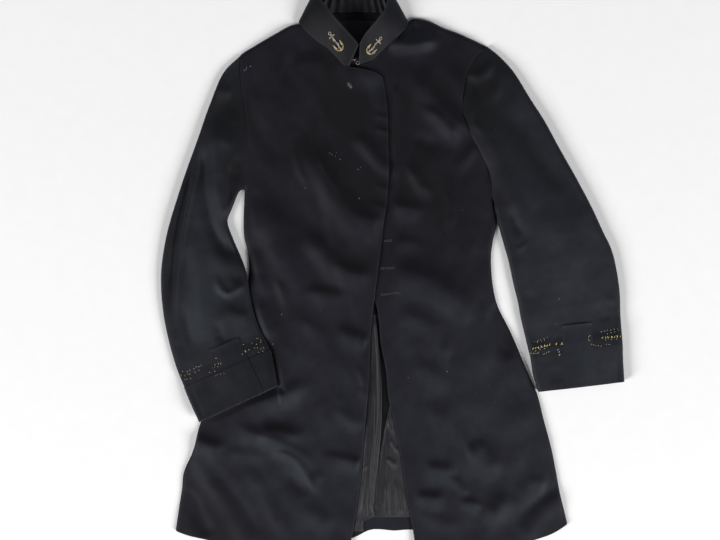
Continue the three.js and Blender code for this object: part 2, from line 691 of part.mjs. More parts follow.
function slash(side) {
  const { top, foot } = SLASH[side];
  const between = (a, b, t) => a.map((value, k) => value + (b[k] - value) * t);
  const plan = spread(0, 1, 4).map((down) => {
    return spread(0, 1, 4).map((across) => {
      const [position, share] = between(between(...top, across), between(...foot, across), down);
      return armTop(side, position, share);
    });
  });
  const overCuff = CLOTH + 3 * GAP;
  const raise = (grid, distance) => grid.map((row) => row.map((p) => p.clone().setZ(p.z + distance)));
  const panel = wallBetween(raise(plan, overCuff + SLASH_WALL), raise(plan, overCuff));
  sew(`cuff_slash_${side}`, "broadcloth", panel);
}

for (const side of ["right", "left"]) {
  sleeve(side);
  slash(side);
}

// ---- collar -----------------------------------------------------------------------------

function seamHeight(row) {
  const nearest = row.seamX < NECK_SHIELD.middle ? "right" : "left";
  const heights = {
    front: frontTop(nearest, row.seamX, row.seamY - NECK_SEAM_INSET) + NECK_RISE,
    fold: FOLD_SEAM_HEIGHT,
    back: 0,
  };
  return heights[row.lies];
}

const collarSeam = COLLAR.map((row) => new THREE.Vector3(row.seamX, row.seamY, seamHeight(row)));
const collarTop = COLLAR.map((row) => new THREE.Vector3(row.topX, row.topY, row.topZ));

// A place on the band's outer face: a row of the collar's table and a share of its height.
function onBand(row, share) {
  const k = Math.min(Math.floor(row), COLLAR.length - 2);
  const low = collarSeam[k].clone().lerp(collarSeam[k + 1], row - k);
  const high = collarTop[k].clone().lerp(collarTop[k + 1], row - k);
  return low.lerp(high, share);
}

const band = BAND_SHARES.map((share) => COLLAR.map((_, k) => onBand(k, share)));
sew("collar", "broadcloth", wallBetween(band, moveOut(band, COLLAR_WALL)));

// The lining shows inside the back half, where it is gathered into small pleats.
const BACK_ROWS = { first: 8.3, last: 11.7 };
const LINING_SHARES = [0.08, 0.35, 0.65, 0.94]; // of the band's height
const PLEAT_COLUMNS = 16; // every other one is a pleat
const pleatColumns = spread(BACK_ROWS.first, BACK_ROWS.last, PLEAT_COLUMNS);
const raiseZ = (point, rise) => point.setZ(point.z + rise);
const liningBand = LINING_SHARES.map((share) => {
  return pleatColumns.map((row) => raiseZ(onBand(row, share), COLLAR_WALL + 2 * GAP));
});
const pleated = liningBand.map((row) => row.map((point, k) => {
  return raiseZ(point.clone(), LINING + (k % 2) * PLEAT);
}));
sew("collar_lining", "satin", wallBetween(pleated, liningBand));

// ---- anchors, hook and eye --------------------------------------------------------------

function solidOf(geometry) {
  geometry.deleteAttribute("normal");
  geometry.deleteAttribute("uv");
  const merged = mergeVertices(geometry);
  const mesh = new wasm.Mesh({
    numProp: 3,
    vertProperties: merged.attributes.position.array,
    triVerts: merged.index.array,
  });
  return new wasm.Manifold(mesh);
}

function geometryOf(solid) {
  const mesh = solid.getMesh();
  const geometry = new THREE.BufferGeometry();
  geometry.setAttribute("position", new THREE.BufferAttribute(mesh.vertProperties, mesh.numProp));
  geometry.setIndex(new THREE.BufferAttribute(mesh.triVerts, 1));
  return geometry;
}

function raisedShape(shape) {
  const settings = { depth: ANCHOR.thick, bevelEnabled: false, curveSegments: 10 };
  return solidOf(new THREE.ExtrudeGeometry(shape, settings));
}

function bar(x, y, length, width) {
  const box = new THREE.BoxGeometry(length, width, ANCHOR.thick);
  return solidOf(box.translate(x, y, ANCHOR.thick / 2));
}

// An anchor of a given length, lying along +X from its ring to its crown.
function anchorShape(length) {
  const { span, bar: width, ring: ringRadius, ringHole } = ANCHOR;
  const reach = span / 2;
  const armRadius = reach + ringRadius;
  const armCentre = length - armRadius;
  const armSweep = 1.2; // radians to each side of the shank
  const ring = new THREE.Shape().absarc(ringRadius, 0, ringRadius, 0, 2 * Math.PI);
  ring.holes.push(new THREE.Path().absarc(ringRadius, 0, ringHole, 0, 2 * Math.PI, true));
  const arms = new THREE.Shape();
  arms.absarc(armCentre, 0, armRadius, -armSweep, armSweep);
  arms.absarc(armCentre, 0, armRadius - width, armSweep, -armSweep, true);
  const shankStart = 2 * ringRadius - 1;
  const shankEnd = length - width / 2;
  const parts = [
    raisedShape(ring),
    bar((shankStart + shankEnd) / 2, 0, shankEnd - shankStart, width),
    bar(3 * ringRadius, 0, width, span * 0.8),
    raisedShape(arms),
  ];
  for (const hand of [-1, 1]) {
    const fluke = new THREE.Shape();
    fluke.moveTo(length - 2 * reach, hand * reach * 1.2);
    fluke.lineTo(length - 1.1 * reach, hand * reach * 0.75);
    fluke.lineTo(length - 0.8 * reach, hand * reach * 1.45);
    parts.push(raisedShape(fluke));
  }
  return geometryOf(parts.reduce((whole, next) => whole.add(next)));
}

function placeAnchor(side) {
  const place = ANCHOR_PLACE[side];
  const ring = onBand(...place.ring);
  const crown = onBand(...place.crown);
  const length = ring.distanceTo(crown);
  const run = crown.sub(ring).normalize();
  const normal = bandNormal(...place.crown).add(bandNormal(...place.ring));
  const across = normal.cross(run).normalize();
  const up = run.clone().cross(across);
  const start = ring.addScaledVector(up, ANCHOR.off);
  const placed = new THREE.Matrix4().makeBasis(run, across, up).setPosition(start);
  sew(`collar_anchor_${side}`, "bullion", anchorShape(length).applyMatrix4(placed));
}

function bandNormal(row, share) {
  const upward = onBand(row, share + 0.1).sub(onBand(row, share - 0.1));
  const onward = onBand(row + 0.5, share).sub(onBand(row - 0.5, share));
  return upward.cross(onward).normalize();
}

placeAnchor("right");
placeAnchor("left");

// They stand in the gap between the collar's ends: the eye on the left end, the hook on the right.
const EYE = { x: -55.4, y: 332.6, z: 11.2, radius: 2.6 };
const HOOK_PATH = [[-64, 337.6, 13.5], [-61.5, 337.4, 13], [-59.3, 337.8, 12.4], [-59, 339.3, 12.2]];

function hookAndEye() {
  const eye = new THREE.TorusGeometry(EYE.radius, WIRE, 6, 14);
  sew("collar_eye", "wire", geometryOf(solidOf(eye.translate(EYE.x, EYE.y, EYE.z))));
  const path = new THREE.CatmullRomCurve3(HOOK_PATH.map((point) => new THREE.Vector3(...point)));
  const section = new THREE.Shape().absarc(0, 0, WIRE, 0, 2 * Math.PI);
  const settings = { steps: 8, curveSegments: 4, extrudePath: path, bevelEnabled: false };
  sew("collar_hook", "wire", geometryOf(solidOf(new THREE.ExtrudeGeometry(section, settings))));
}

hookAndEye();

export default tunic;
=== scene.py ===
# A naval frock tunic of dark broadcloth, laid flat on its back with the right front lapped over
# the left. "Right" is the wearer's right, at -X. The tables are in millimetres, in the frame's
# axes; every mesh made from them is in metres.
import math
from collections import namedtuple

import bpy
import numpy as np
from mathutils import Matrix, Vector
from mathutils.bvhtree import BVHTree


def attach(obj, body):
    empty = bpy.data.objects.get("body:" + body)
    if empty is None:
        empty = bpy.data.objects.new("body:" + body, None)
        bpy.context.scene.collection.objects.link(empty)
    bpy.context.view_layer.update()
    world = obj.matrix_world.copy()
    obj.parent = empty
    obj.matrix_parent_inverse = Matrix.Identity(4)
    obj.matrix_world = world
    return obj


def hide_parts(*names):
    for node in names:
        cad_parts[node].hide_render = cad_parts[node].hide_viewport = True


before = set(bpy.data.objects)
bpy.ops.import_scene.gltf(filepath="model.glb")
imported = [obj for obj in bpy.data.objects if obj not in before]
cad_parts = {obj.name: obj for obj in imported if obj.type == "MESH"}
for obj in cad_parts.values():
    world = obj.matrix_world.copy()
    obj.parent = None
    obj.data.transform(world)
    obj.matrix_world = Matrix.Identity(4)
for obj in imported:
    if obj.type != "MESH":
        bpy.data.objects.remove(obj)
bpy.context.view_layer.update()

MM = 0.001

# ---- driving dimensions: the solids' own, but for gaps and cuffs drawn closer ----

CLOTH = 1.8              # wall of a broadcloth panel with its interlining
LINING = 1.0             # wall of a satin lining
COLLAR_WALL = 2.2        # stiffened collar band
GAP = 0.3                # between layers
ARMHOLE_GAP = 0.2        # between the body and the sleeve head
SEAM_SPLIT = 0.2         # between the two halves of a sleeve
FRONT_TOP = 5.2          # height of a front's face where it lies flat on the back
BODY_ROLL = 7            # a front rolls down to the side and shoulder over this distance
BACK_INSET = 3.8         # the back's side seams lie this far inside the roll
SHOULDER_INSET = 7       # and its shoulder seams this far
LAP_COVER = 30           # the lap is fully raised this far before the hidden edge
LAP_RAMP = 20            # and climbs to that height over this width
LAP_REACH = 50           # the fronts begin to press on each other this far before that edge
LAP_FADE = 30            # and do so fully over this width
SLEEVE_LIFT = 6.4        # underside of the right sleeve where it lies on the body
SLEEVE_RAMP = 45         # width over which it climbs there
SLEEVE_CLEAR = 14        # and has climbed this far outside the skirt's side
SLEEVE_BEGINS = 30       # down from this y it begins to climb
SLEEVE_FADE = 14         # the skirt's own folds are pressed flat under it over this width
SLEEVE_SWELL = {"high": 4.5, "top": -5, "foot": -235, "reach": 44}
EDGE_SHARE = 0.85        # a sleeve's height beside its edges, as a share of its middle
HIND_SEAM = {"right": 24, "left": 14}    # in from the outer edge: on top, and underneath
FORE_SEAM = 12           # in from the inner edge, underneath
NECK_RISE = 2.4          # the collar's face stands this far above the fronts at the neck seam
NECK_SEAM_INSET = 3      # where the fronts' height is taken, in from the neck seam
FOLD_SEAM_HEIGHT = 4     # the neck seam's height where the collar folds at the sides
SLASH_WALL = 0.7
CUFF_WALL = 0.75
CUFF_GAP = 0.1
SIDE_SHARE = 0.72        # the share of a body panel's rows that lie beside its side seam
STEP = {"front": 3.2, "back": 9, "sleeve": 3.2, "cuff": 2.4, "lining": 2.6, "trim": 1.8}

# ---- outlines, (x, y), each running upwards or towards the neck ----

LAP_EDGE = [
    (-71, -468), (-66, -438), (-58, -394), (-50, -333), (-44, -254), (-38, -181), (-35, -103),
    (-29, -49), (-24, -7), (-19, 33), (-13, 78), (-9, 111), (-6, 156), (-7, 200), (-8, 251),
    (-13, 294), (-16, 309),
]
HIDDEN_EDGE = [
    (40, -469), (37, -438), (26, -377), (18, -321), (7, -265), (-4, -214), (-9, -164),
    (-17, -124), (-24, -62), (-39, -36), (-58, 29), (-71, 111), (-76, 192), (-75, 274), (-68, 319),
]
CENTRE_BACK = [(4, -427), (-6, -346), (-26, -215), (-39, -3), (-52, 192), (-63, 411)]
SLEEVE_ON_SKIRT = [(-180, -230), (-186, -191), (-198, -132), (-211, -108), (-222, -80),
                   (-230, -46), (-236, 0)]
UNDER_CUFF_FOOT = [(-312, -249), (-186, -191)]
LINING_VALLEY = [(-31, -405), (-28, -370), (-23, -330), (-20, -300), (-17, -262), (-16, -200),
                 (-18, -160), (-23, -110), (-27, -70)]
CUT = {
    "right": {
        "hem": [(-352, -427), (-332, -434), (-304, -440), (-247, -455), (-198, -463), (-150, -468),
                (-101, -469), (-71, -468)],
        "side": [(-352, -427), (-348, -399), (-342, -360), (-339, -333), (-324, -298), (-313, -256),
                 (-291, -202), (-273, -150), (-256, -98), (-241, -52), (-233, -7), (-234, 21),
                 (-241, 55), (-240, 127)],
        "armhole": [(-240, 127), (-236, 168), (-234, 212), (-241, 274), (-246, 316), (-246, 346)],
        "shoulder": [(-246, 346), (-242, 350), (-215, 367), (-187, 383), (-167, 394), (-150, 398)],
        "neck": [(-150, 398), (-139, 383), (-121, 367), (-105, 356), (-90, 340), (-79, 329),
                 (-71, 326), (-54, 323.5), (-41, 321), (-27, 316.5), (-16, 309)],
        "back_neck": [(-150, 398), (-133, 404), (-109, 409), (-63, 411)],
        "back_hem": [(-349, -424), (-150, -458), (-63, -438), (-34, -425), (4, -427)],
    },
    "left": {
        "hem": [(286, -416), (263, -430), (235, -440), (209, -448), (176, -456), (128, -465),
                (79, -469), (40, -469)],
        "side": [(286, -416), (282, -399), (274, -366), (268, -333), (260, -293), (248, -248),
                 (237, -205), (225, -178), (210, -142), (193, -103), (173, -63), (167, -41),
                 (163, -12), (162, 21), (165, 44), (172, 78), (165, 114)],
        "armhole": [(165, 114), (159, 156), (134, 207), (115, 246), (116, 290), (128, 331),
                    (154, 359)],
        "shoulder": [(154, 359), (139, 368), (111, 381), (84, 391), (61, 402), (33, 406), (26, 400)],
        "neck": [(26, 400), (23, 392), (10, 377), (-6, 361), (-17, 350), (-25, 342), (-37, 333),
                 (-51, 329), (-68, 319)],
        "back_neck": [(26, 400), (9, 405), (-16, 409), (-63, 411)],
        "back_hem": [(283, -413), (209, -444), (128, -459), (40, -431), (4, -433)],
    },
}

# ---- sections ----


def table(name, columns, rows):
    shape = namedtuple(name, columns)
    return [shape(*row) for row in rows]


UNDER_CUFF = GAP + CLOTH
ARM_COLUMNS = "outer_x outer_y inner_x inner_y bow high raised"
ARM = {
    "right": table("Arm", ARM_COLUMNS, [
        (-246, 346, -240, 127, 1, 5.2, 0),
        (-273, 319, -246, 126, 0.8, 7, 0),
        (-296, 266, -250, 121, 0.55, 9, 0),
        (-316, 209, -253, 114, 0.3, 11, 0),
        (-335, 156, -256, 106, 0.1, 12, 0),
        (-348, 117, -260, 96, 0, 12, 0),
        (-360, 78, -267, 76, 0, 12, 0),
        (-368, 46, -259, 50, 0, 11, 0),
        (-375, -2, -237, -3, 0, 10, 0),
        (-375, -41, -230, -46, 0, 9.5, 0),
        (-370, -85, -222, -80, 0, 9, 0),
        (-360, -130, -211, -108, 0, 8.5, 0),
        (-348, -168, -202, -124, 0, 8, UNDER_CUFF),
        (-337, -194, -198, -132, 0, 8, UNDER_CUFF),
        (-326, -219, -191, -163, 0, 8, UNDER_CUFF),
        (-312, -249, -186, -191, 0, 8, UNDER_CUFF),
    ]),
    "left": table("Arm", ARM_COLUMNS, [
        (154, 359, 165, 114, 1, 5.2, 0),
        (173, 344, 168, 108, 0.85, 7, 0),
        (196, 319, 169, 101, 0.65, 9, 0),
        (224, 274, 170, 93, 0.4, 11, 0),
        (247, 238, 172, 85, 0.2, 12, 0),
        (271, 194, 173, 76, 0.05, 12, 0),
        (297, 148, 176, 66, 0, 12, 0),
        (325, 95, 183, 41, 0, 12, 0),
        (341, 60, 191, 13, 0, 12, 0),
        (356, 28, 199, -24, 0, 12, 0),
        (365, -11, 207, -57, 0, 12, 0),
        (369, -44, 211, -80, 0, 12, 0),
        (370, -77, 216, -101, 0, 11, 0),
        (372, -108, 223, -131, 0, 11, UNDER_CUFF),
        (373, -121, 226, -143, 0, 11, UNDER_CUFF),
        (374, -152, 231, -173, 0, 11, UNDER_CUFF),
        (376, -184, 239, -200, 0, 11, UNDER_CUFF),
    ]),
}
CUFF_SECTION = {"right": 13, "left": 14}
SLASH = {
    "right": {"top": [(-295, -133), (-249, -113)], "foot": [(-253, -220.5), (-208, -200)]},
    "left": {"top": [(324, -88), (274.5, -93.5)], "foot": [(326, -188), (282, -193)]},
}
COLLAR = table("Band", "lies seam_x seam_y top_x top_y top_z", [
    ("front", -70, 327, -55, 359, 27),
    ("front", -79, 330, -62, 368, 29),
    ("front", -90, 341, -74, 381, 31),
    ("front", -105, 357, -85, 393, 32),
    ("front", -121, 368, -96, 406, 31),
    ("front", -139, 384, -108, 423, 27),
    ("front", -148, 395, -120, 436, 20),
    ("fold", -151, 402, -126, 446, 11),
    ("back", -145, 404, -122, 454, 1),
    ("back", -109, 411, -97, 460, 0),
    ("back", -63, 412, -63, 463, 0),
    ("back", -16, 411, -29, 460, 0),
    ("back", 19, 404, -5, 454, 1),
    ("fold", 26, 402, -1, 446, 11),
    ("front", 24, 393, -6, 436, 20),
    ("front", 11, 377, -9, 419, 27),
    ("front", -6, 362, -21, 402, 31),
    ("front", -17, 351, -32, 388, 32),
    ("front", -32, 338, -43, 375, 31),
    ("front", -53, 330, -51.5, 361.5, 27),
])
NECK_SHIELD = {"middle": -63, "low": 306, "high": 402, "half_width": 66, "roundness": 0.96}
ANCHOR = {"span": 15, "slim": 0.84, "ring": 3, "loop": 2.3, "stock": 0.36, "knob": 0.4,
          "padding": 0.42}
ANCHOR_PLACE = {
    "right": {"ring": (3.5, 0.5), "crown": (1.65, 0.37)},
    "left": {"ring": (16.45, 0.42), "crown": (18.3, 0.33)},
}
WIRE = 0.5
EYE = {"x": -55.4, "y": 332.6, "z": 11.2, "radius": 2.6}
HOOK_PATH = [(-64, 337.6, 13.5), (-61.5, 337.4, 13), (-59.3, 337.8, 12.4), (-59, 339.3, 12.2)]

# ---- creases ----

# The line of each crease, its half width and its height; a trough's height is below 0. A crease
# above 0 in "steep" has a steep flank towards the collar and a broad one towards the hem. "from_"
# and "to" say over what share of its length it rises at its start and dies away at its end.
CREASE_COLUMNS = "line wide high steep from_ to"
BODY_CREASES = table("Crease", CREASE_COLUMNS, [
    # right shoulder and chest
    ([(-134, 356), (-129, 318), (-140, 276), (-163, 232)], 29, 3.9, 0, 0.2, 0.4),
    ([(-160, 352), (-170, 322), (-176, 290)], 12, -2.2, 0, 0.4, 0.5),
    ([(-196, 330), (-206, 280), (-204, 220)], 20, 2.2, 0, 0.4, 0.5),
    ([(-100, 338), (-66, 320), (-30, 318)], 26, 3.1, 0.2, 0.3, 0),
    ([(-96, 288), (-66, 268), (-40, 262)], 20, -2.4, 0, 0.5, 0.4),
    ([(-64, 224), (-44, 200), (-18, 170), (-4, 160)], 18, 3.8, 0.4, 0.3, 0),
    ([(-100, 226), (-84, 196), (-66, 176)], 16, -2.4, 0, 0.4, 0.5),
    ([(-150, 220), (-131, 176), (-108, 140), (-84, 106), (-52, 80), (-10, 72)], 35, 7.4, 0.65, 0.3, 0.1),
    ([(-128, 202), (-112, 166), (-88, 128), (-72, 108)], 6, 1.5, 0.2, 0.4, 0.5),
    ([(-158, 208), (-150, 160), (-128, 118)], 9, 1.6, 0, 0.4, 0.5),
    # right waist
    ([(-222, 120), (-198, 70), (-176, 26), (-158, -20), (-150, -62)], 31, 5.2, 0.5, 0.3, 0.4),
    ([(-226, 40), (-216, -10), (-200, -56)], 13, 2.8, 0, 0.4, 0.4),
    ([(-146, 66), (-112, 24), (-84, -2), (-40, -14), (-24, -14)], 27, 6.9, 0.65, 0.3, 0.2),
    ([(-156, -38), (-112, -42), (-62, -52)], 21, 4.1, 0.6, 0.4, 0.4),
    ([(-196, -8), (-176, -44), (-168, -86)], 11, 2.2, 0, 0.4, 0.5),
    ([(-98, -100), (-62, -112), (-34, -122)], 21, 3.6, 0.6, 0.5, 0.2),
    ([(-166, -78), (-130, -98), (-104, -122)], 18, 2.4, 0.4, 0.5, 0.5),
    ([(-60, -150), (-48, -180), (-44, -204)], 9, 1.6, 0, 0.5, 0.4),
    # pulls along the lap's edge
    ([(-38, 250), (-7, 244)], 8, 1.5, 0.5, 0.6, 0),
    ([(-34, 227), (-6, 221)], 7, 1.6, 0.5, 0.6, 0),
    ([(-40, 140), (-8, 128)], 11, 1.7, 0.6, 0.6, 0),
    ([(-50, 108), (-12, 98)], 11, 1.5, 0.5, 0.6, 0),
    ([(-58, -196), (-44, -203)], 11, 1.2, 0.4, 0.5, 0),
    # right skirt
    ([(-220, -50), (-208, -88), (-190, -122)], 18, 2.9, 0.2, 0.3, 0.3),
    ([(-236, -236), (-196, -216), (-150, -196), (-118, -188)], 20, 3.9, 0.2, 0.4, 0.4),
    ([(-224, -262), (-184, -268), (-136, -278)], 25, 6.2, 0.75, 0.3, 0.4),
    ([(-262, -254), (-220, -270), (-176, -288), (-146, -306), (-124, -336)], 18, 3.8, 0.6, 0.3, 0.3),
    ([(-206, -300), (-170, -304), (-150, -318), (-132, -346), (-116, -372)], 9, 3.4, 0, 0.3, 0.2),
    ([(-176, -322), (-160, -344), (-138, -374)], 14, -2.8, 0, 0.4, 0.4),
    ([(-282, -300), (-230, -304), (-196, -312)], 17, 2.1, 0.4, 0.4, 0.4),
    ([(-326, -296), (-292, -346), (-256, -392), (-236, -436)], 22, 1.8, 0, 0.3, 0),
    ([(-306, -310), (-268, -356), (-238, -396), (-214, -440)], 14, -1.5, 0, 0.4, 0.2),
    ([(-262, -300), (-222, -340), (-190, -396), (-176, -440)], 18, 2.2, 0, 0.4, 0.2),
    ([(-346, -356), (-318, -392), (-294, -440)], 18, -2.8, 0, 0.3, 0.2),
    ([(-332, -276), (-300, -288), (-262, -296)], 24, 5.2, 0.7, 0.2, 0.4),
    ([(-120, -304), (-84, -310), (-50, -318)], 17, 3.1, 0.7, 0.5, 0.1),
    ([(-136, -334), (-104, -346)], 14, 1.7, 0.4, 0.5, 0.5),
    ([(-170, -384), (-128, -402), (-90, -428)], 24, 2.8, 0.3, 0.5, 0.3),
    ([(-108, -228), (-72, -244), (-50, -266)], 18, 2.6, 0.3, 0.5, 0.3),
    # left shoulder and chest
    ([(-10, 364), (26, 361), (56, 366), (78, 380)], 18, 7.4, -0.45, 0.1, 0.3),
    ([(33, 404), (36, 382)], 5, -2.4, 0, 0, 0.4),
    ([(7, 300), (6, 210), (7, 118)], 6, 3.1, 0, 0.1, 0.2),
    ([(-4, 286), (-2, 210), (-1, 140)], 4, -1.2, 0, 0.2, 0.3),
    ([(30, 334), (54, 290), (84, 254), (128, 214)], 25, 5.5, 0.6, 0.3, 0.2),
    ([(30, 262), (66, 250), (92, 224), (114, 196)], 17, 4.1, 0.45, 0.4, 0.3),
    ([(28, 214), (52, 206), (76, 188)], 17, -2.8, 0, 0.4, 0.4),
    ([(92, 330), (112, 292), (126, 250)], 16, 2.4, 0, 0.4, 0.4),
    ([(140, 206), (120, 176), (104, 144)], 14, 2.9, 0.3, 0.3, 0.5),
    ([(26, 176), (46, 136), (68, 108)], 14, 4.6, 0.35, 0.4, 0.4),
    ([(-4, 104), (25, 97), (58, 88)], 20, 4.8, 0.65, 0.2, 0.5),
    ([(92, 140), (96, 90), (84, 40)], 14, 2.2, 0, 0.4, 0.5),
    # left waist
    ([(-4, 40), (30, 40), (66, 26)], 18, 2.4, 0.5, 0.3, 0.5),
    ([(-4, -4), (50, -18), (100, -52), (150, -98)], 38, 6.5, 0.55, 0.2, 0.4),
    ([(4, -72), (44, -84), (96, -112)], 24, 2.8, 0.3, 0.3, 0.5),
    ([(20, -150), (64, -172), (96, -206)], 24, 2.8, 0.3, 0.4, 0.5),
    ([(70, -132), (100, -140)], 24, 2.2, 0.4, 0.5, 0.5),
    ([(168, -56), (176, -100), (192, -152)], 16, -3.9, 0, 0.3, 0.4),
    # left skirt
    ([(46, -322), (80, -328), (112, -331)], 23, 4.3, 0.7, 0.4, 0.4),
    ([(34, -370), (64, -374), (94, -373)], 20, 4.3, 0.7, 0.35, 0.45),
    ([(88, -338), (110, -352), (124, -374)], 11, 2.4, 0.4, 0.4, 0.3),
    ([(104, -381), (128, -382), (152, -392)], 15, 3.2, 0.7, 0.4, 0.4),
    ([(132, -276), (154, -308), (178, -342)], 24, 4.5, 0.5, 0.3, 0.4),
    ([(112, -262), (128, -300), (138, -330)], 10, 2, 0, 0.4, 0.4),
    ([(144, -412), (172, -392), (196, -360)], 24, 4.6, 0.4, 0.4, 0.4),
    ([(284, -366), (246, -396), (204, -440)], 22, 2.0, 0.35, 0.1, 0.2),
    ([(272, -352), (240, -378), (200, -410)], 12, -1.4, 0, 0.2, 0.4),
    ([(214, -342), (254, -354)], 17, 2.1, 0.4, 0.5, 0.3),
    ([(228, -206), (208, -256), (200, -312)], 29, 2.8, 0, 0.4, 0.5),
    ([(60, -210), (84, -256), (92, -296)], 22, 2.4, 0, 0.4, 0.5),
    ([(30, -392), (70, -410), (120, -424)], 18, 2.4, 0.3, 0.3, 0.4),
])
SLEEVE_CREASES = {
    "right": table("Crease", CREASE_COLUMNS, [
        ([(-268, 252), (-254, 247)], 30, -5.0, 0, 0, 0),
        ([(-290, 288), (-258, 284)], 12, 2.6, 0, 0.4, 0.3),
        ([(-292, 220), (-270, 204), (-254, 202)], 13, 1.8, 0.4, 0.3, 0.4),
        ([(-308, 205), (-309, 150), (-300, 98), (-287, 54), (-258, 12)], 14, -5.2, 0, 0.2, 0.2),
        ([(-292, 228), (-284, 178), (-281, 124), (-270, 86), (-251, 52)], 12, 3.0, 0, 0.2, 0.1),
        ([(-317, 208), (-317, 172), (-324, 128), (-335, 72), (-342, 24), (-346, -32), (-348, -84)],
         6, 3.5, 0, 0.15, 0.3),
        ([(-326, 196), (-334, 128), (-347, 70), (-355, 20), (-359, -36), (-358, -100)], 9, -3.8, 0, 0.2, 0.3),
        ([(-262, 176), (-262, 120), (-266, 88)], 7, -2.8, 0, 0.3, 0.4),
        ([(-250, 186), (-251, 136)], 12, -2.0, 0, 0.3, 0.4),
        ([(-284, -8), (-279, -32), (-265, -42), (-250, -34), (-238, -24)], 8, 3.3, 0, 0.3, 0.2),
        ([(-262, -14), (-250, -16), (-238, -8)], 9, -1.4, 0, 0.3, 0),
        ([(-276, -62), (-252, -76), (-228, -76)], 15, 1.8, 0.6, 0.4, 0.2),
        ([(-312, 60), (-310, 0), (-306, -70), (-312, -130)], 20, 3.6, 0, 0.3, 0.3),
        ([(-282, -84), (-276, -124)], 10, -2.4, 0, 0.4, 0.4),
        ([(-340, -54), (-332, -100), (-325, -130)], 10, -2.2, 0, 0.4, 0.4),
    ]),
    "left": table("Crease", CREASE_COLUMNS, [
        ([(134, 338), (131, 327)], 9, -3.2, 0, 0.3, 0.3),
        ([(122, 319), (138, 311), (155, 319), (163, 340)], 8, 4.6, 0, 0.2, 0.3),
        ([(128, 303), (136, 274)], 11, -3.6, 0, 0.3, 0.4),
        ([(176, 338), (172, 294), (152, 258)], 11, 3.2, 0, 0.3, 0.4),
        ([(190, 334), (188, 280)], 8, 1.8, 0, 0.4, 0.5),
        ([(132, 240), (150, 214)], 9, 2.0, 0, 0.4, 0.4),
        ([(160, 218), (176, 166), (188, 108)], 13, 1.5, 0, 0.3, 0.3),
        ([(189, 102), (199, 73), (209, 47)], 10, -2.8, 0, 0.4, 0.4),
        ([(200, 124), (213, 82), (224, 46)], 13, 1.8, 0, 0.4, 0.4),
        ([(200, 28), (210, 34), (221, 44)], 6, 1.2, 0.4, 0.3, 0.5),
        ([(182, 262), (214, 220), (256, 158), (298, 102)], 26, -4.4, 0, 0.3, 0.3),
        ([(212, 296), (256, 236), (300, 160)], 14, 2.2, 0, 0.4, 0.4),
        ([(232, 106), (286, 30), (300, -60)], 32, 3.2, 0, 0.4, 0.5),
        ([(216, -36), (240, -62)], 15, -0.8, 0, 0.5, 0.5),
        ([(330, -56), (352, -88)], 14, -0.9, 0, 0.4, 0.4),
        ([(346, -48), (364, -56)], 8, 0.9, 0.5, 0.4, 0.3),
        ([(262, -158), (268, -190)], 20, -1.2, 0, 0.4, 0.4),
    ]),
}

# Sewn lines on the fronts that aren't the edge of a piece: darts and the left side piece's seam.
DARTS = {
    "right": [[(-153, 214), (-153, 180)]],
    "left": [[(85, 112), (83, 76), (86, 56)], [(167, -60), (178, -104), (184, -150), (190, -196)]],
}
SEAM_DIP = {"deep": 0.5, "wide": 2.0}
DART_DIP = {"deep": 0.8, "wide": 1.5}

FOLD_DEPTH = 1.15        # how many times its drawn height each crease of the body stands
SLEEVE_FOLD_DEPTH = 1.15
SWELL = {"high": 2.4, "reach": 48, "slit_top": -20, "slit_reach": 90}
CREST_PAINTED_HIGHLIGHT = 0.05      # painted highlight: how much lighter the colour is made on a fold, for each millimetre of its height
SLOPE_PAINTED_LIGHT_STRENGTH = 2.2           # painted shade: how much darker the colour is made where the cloth slopes up towards the hem, and lighter where it slopes down
PULL = 0.5               # how far the long waves of the body lean from the shoulder to the middle
STEEPNESS = 0.42         # how much a crease's flanks differ in width when its "steep" is 1
CREASE_REACH = 2.6       # how many half widths away a crease still counts
BODY_SOFTNESS = 0.35     # how softly the body's folds meet the layer beneath, in millimetres

# ---- numbers and lines ----


def mix(a, b, t):
    return a + (b - a) * t


def smooth(t):
    s = np.clip(t, 0, 1)
    return s * s * (3 - 2 * s)


def roll_at(distance, radius):
    """Height of a rounded edge, from 0 at the edge to 1 once past its radius."""
    return np.sqrt(1 - (1 - np.clip(distance / radius, 0, 1)) ** 2)


def no_lower(height, floor, soft):
    """A height kept softly above a floor."""
    return floor + np.logaddexp(0, (height - floor) / soft) * soft


def smooth_line(points, per_span=12):
    """A smooth line through points, with so many steps from one to the next."""
    knots = np.array(points, float)
    knots = np.vstack([2 * knots[0] - knots[1], knots, 2 * knots[-1] - knots[-2]])
    t = np.linspace(0, 1, per_span, endpoint=False)[:, None]
    spans = []
    for a, b, c, d in zip(knots, knots[1:], knots[2:], knots[3:]):
        g, h, k = (max(math.dist(p, q), 1e-6) ** 0.5 for p, q in ((a, b), (b, c), (c, d)))
        leave = ((b - a) / g - (c - a) / (g + h) + (c - b) / h) * h
        arrive = ((c - b) / h - (d - b) / (h + k) + (d - c) / k) * h
        ease = b * (2 * t**3 - 3 * t**2 + 1) + c * (3 * t**2 - 2 * t**3)
        spans.append(ease + leave * (t**3 - 2 * t**2 + t) + arrive * (t**3 - t**2))
    return np.vstack([*spans, knots[-2]])


def run_of(line):
    """Length of the way along a line to each of its points."""
    steps = np.linalg.norm(np.diff(line, axis=0), axis=1)
    return np.concatenate([[0], np.cumsum(steps)])


def length_of(line):
    return run_of(line)[-1]


def read_at(places, known, values):
    """Values that are known along a line or a table, or columns of them, read at places between."""
    if values.ndim == 1:
        return np.interp(places, known, values)
    return np.stack([np.interp(places, known, column) for column in values.T], axis=-1)


def along(line, shares):
    """Points at shares of the way along a line."""
    run = run_of(line)
    return read_at(np.asarray(shares) * run[-1], run, line)


def heading(turn):
    return np.array([math.cos(turn), math.sin(turn)])


def x_at(line, y):
    """The x of a line that climbs in y, at a given y."""
    return np.interp(y, line[:, 1], line[:, 0])


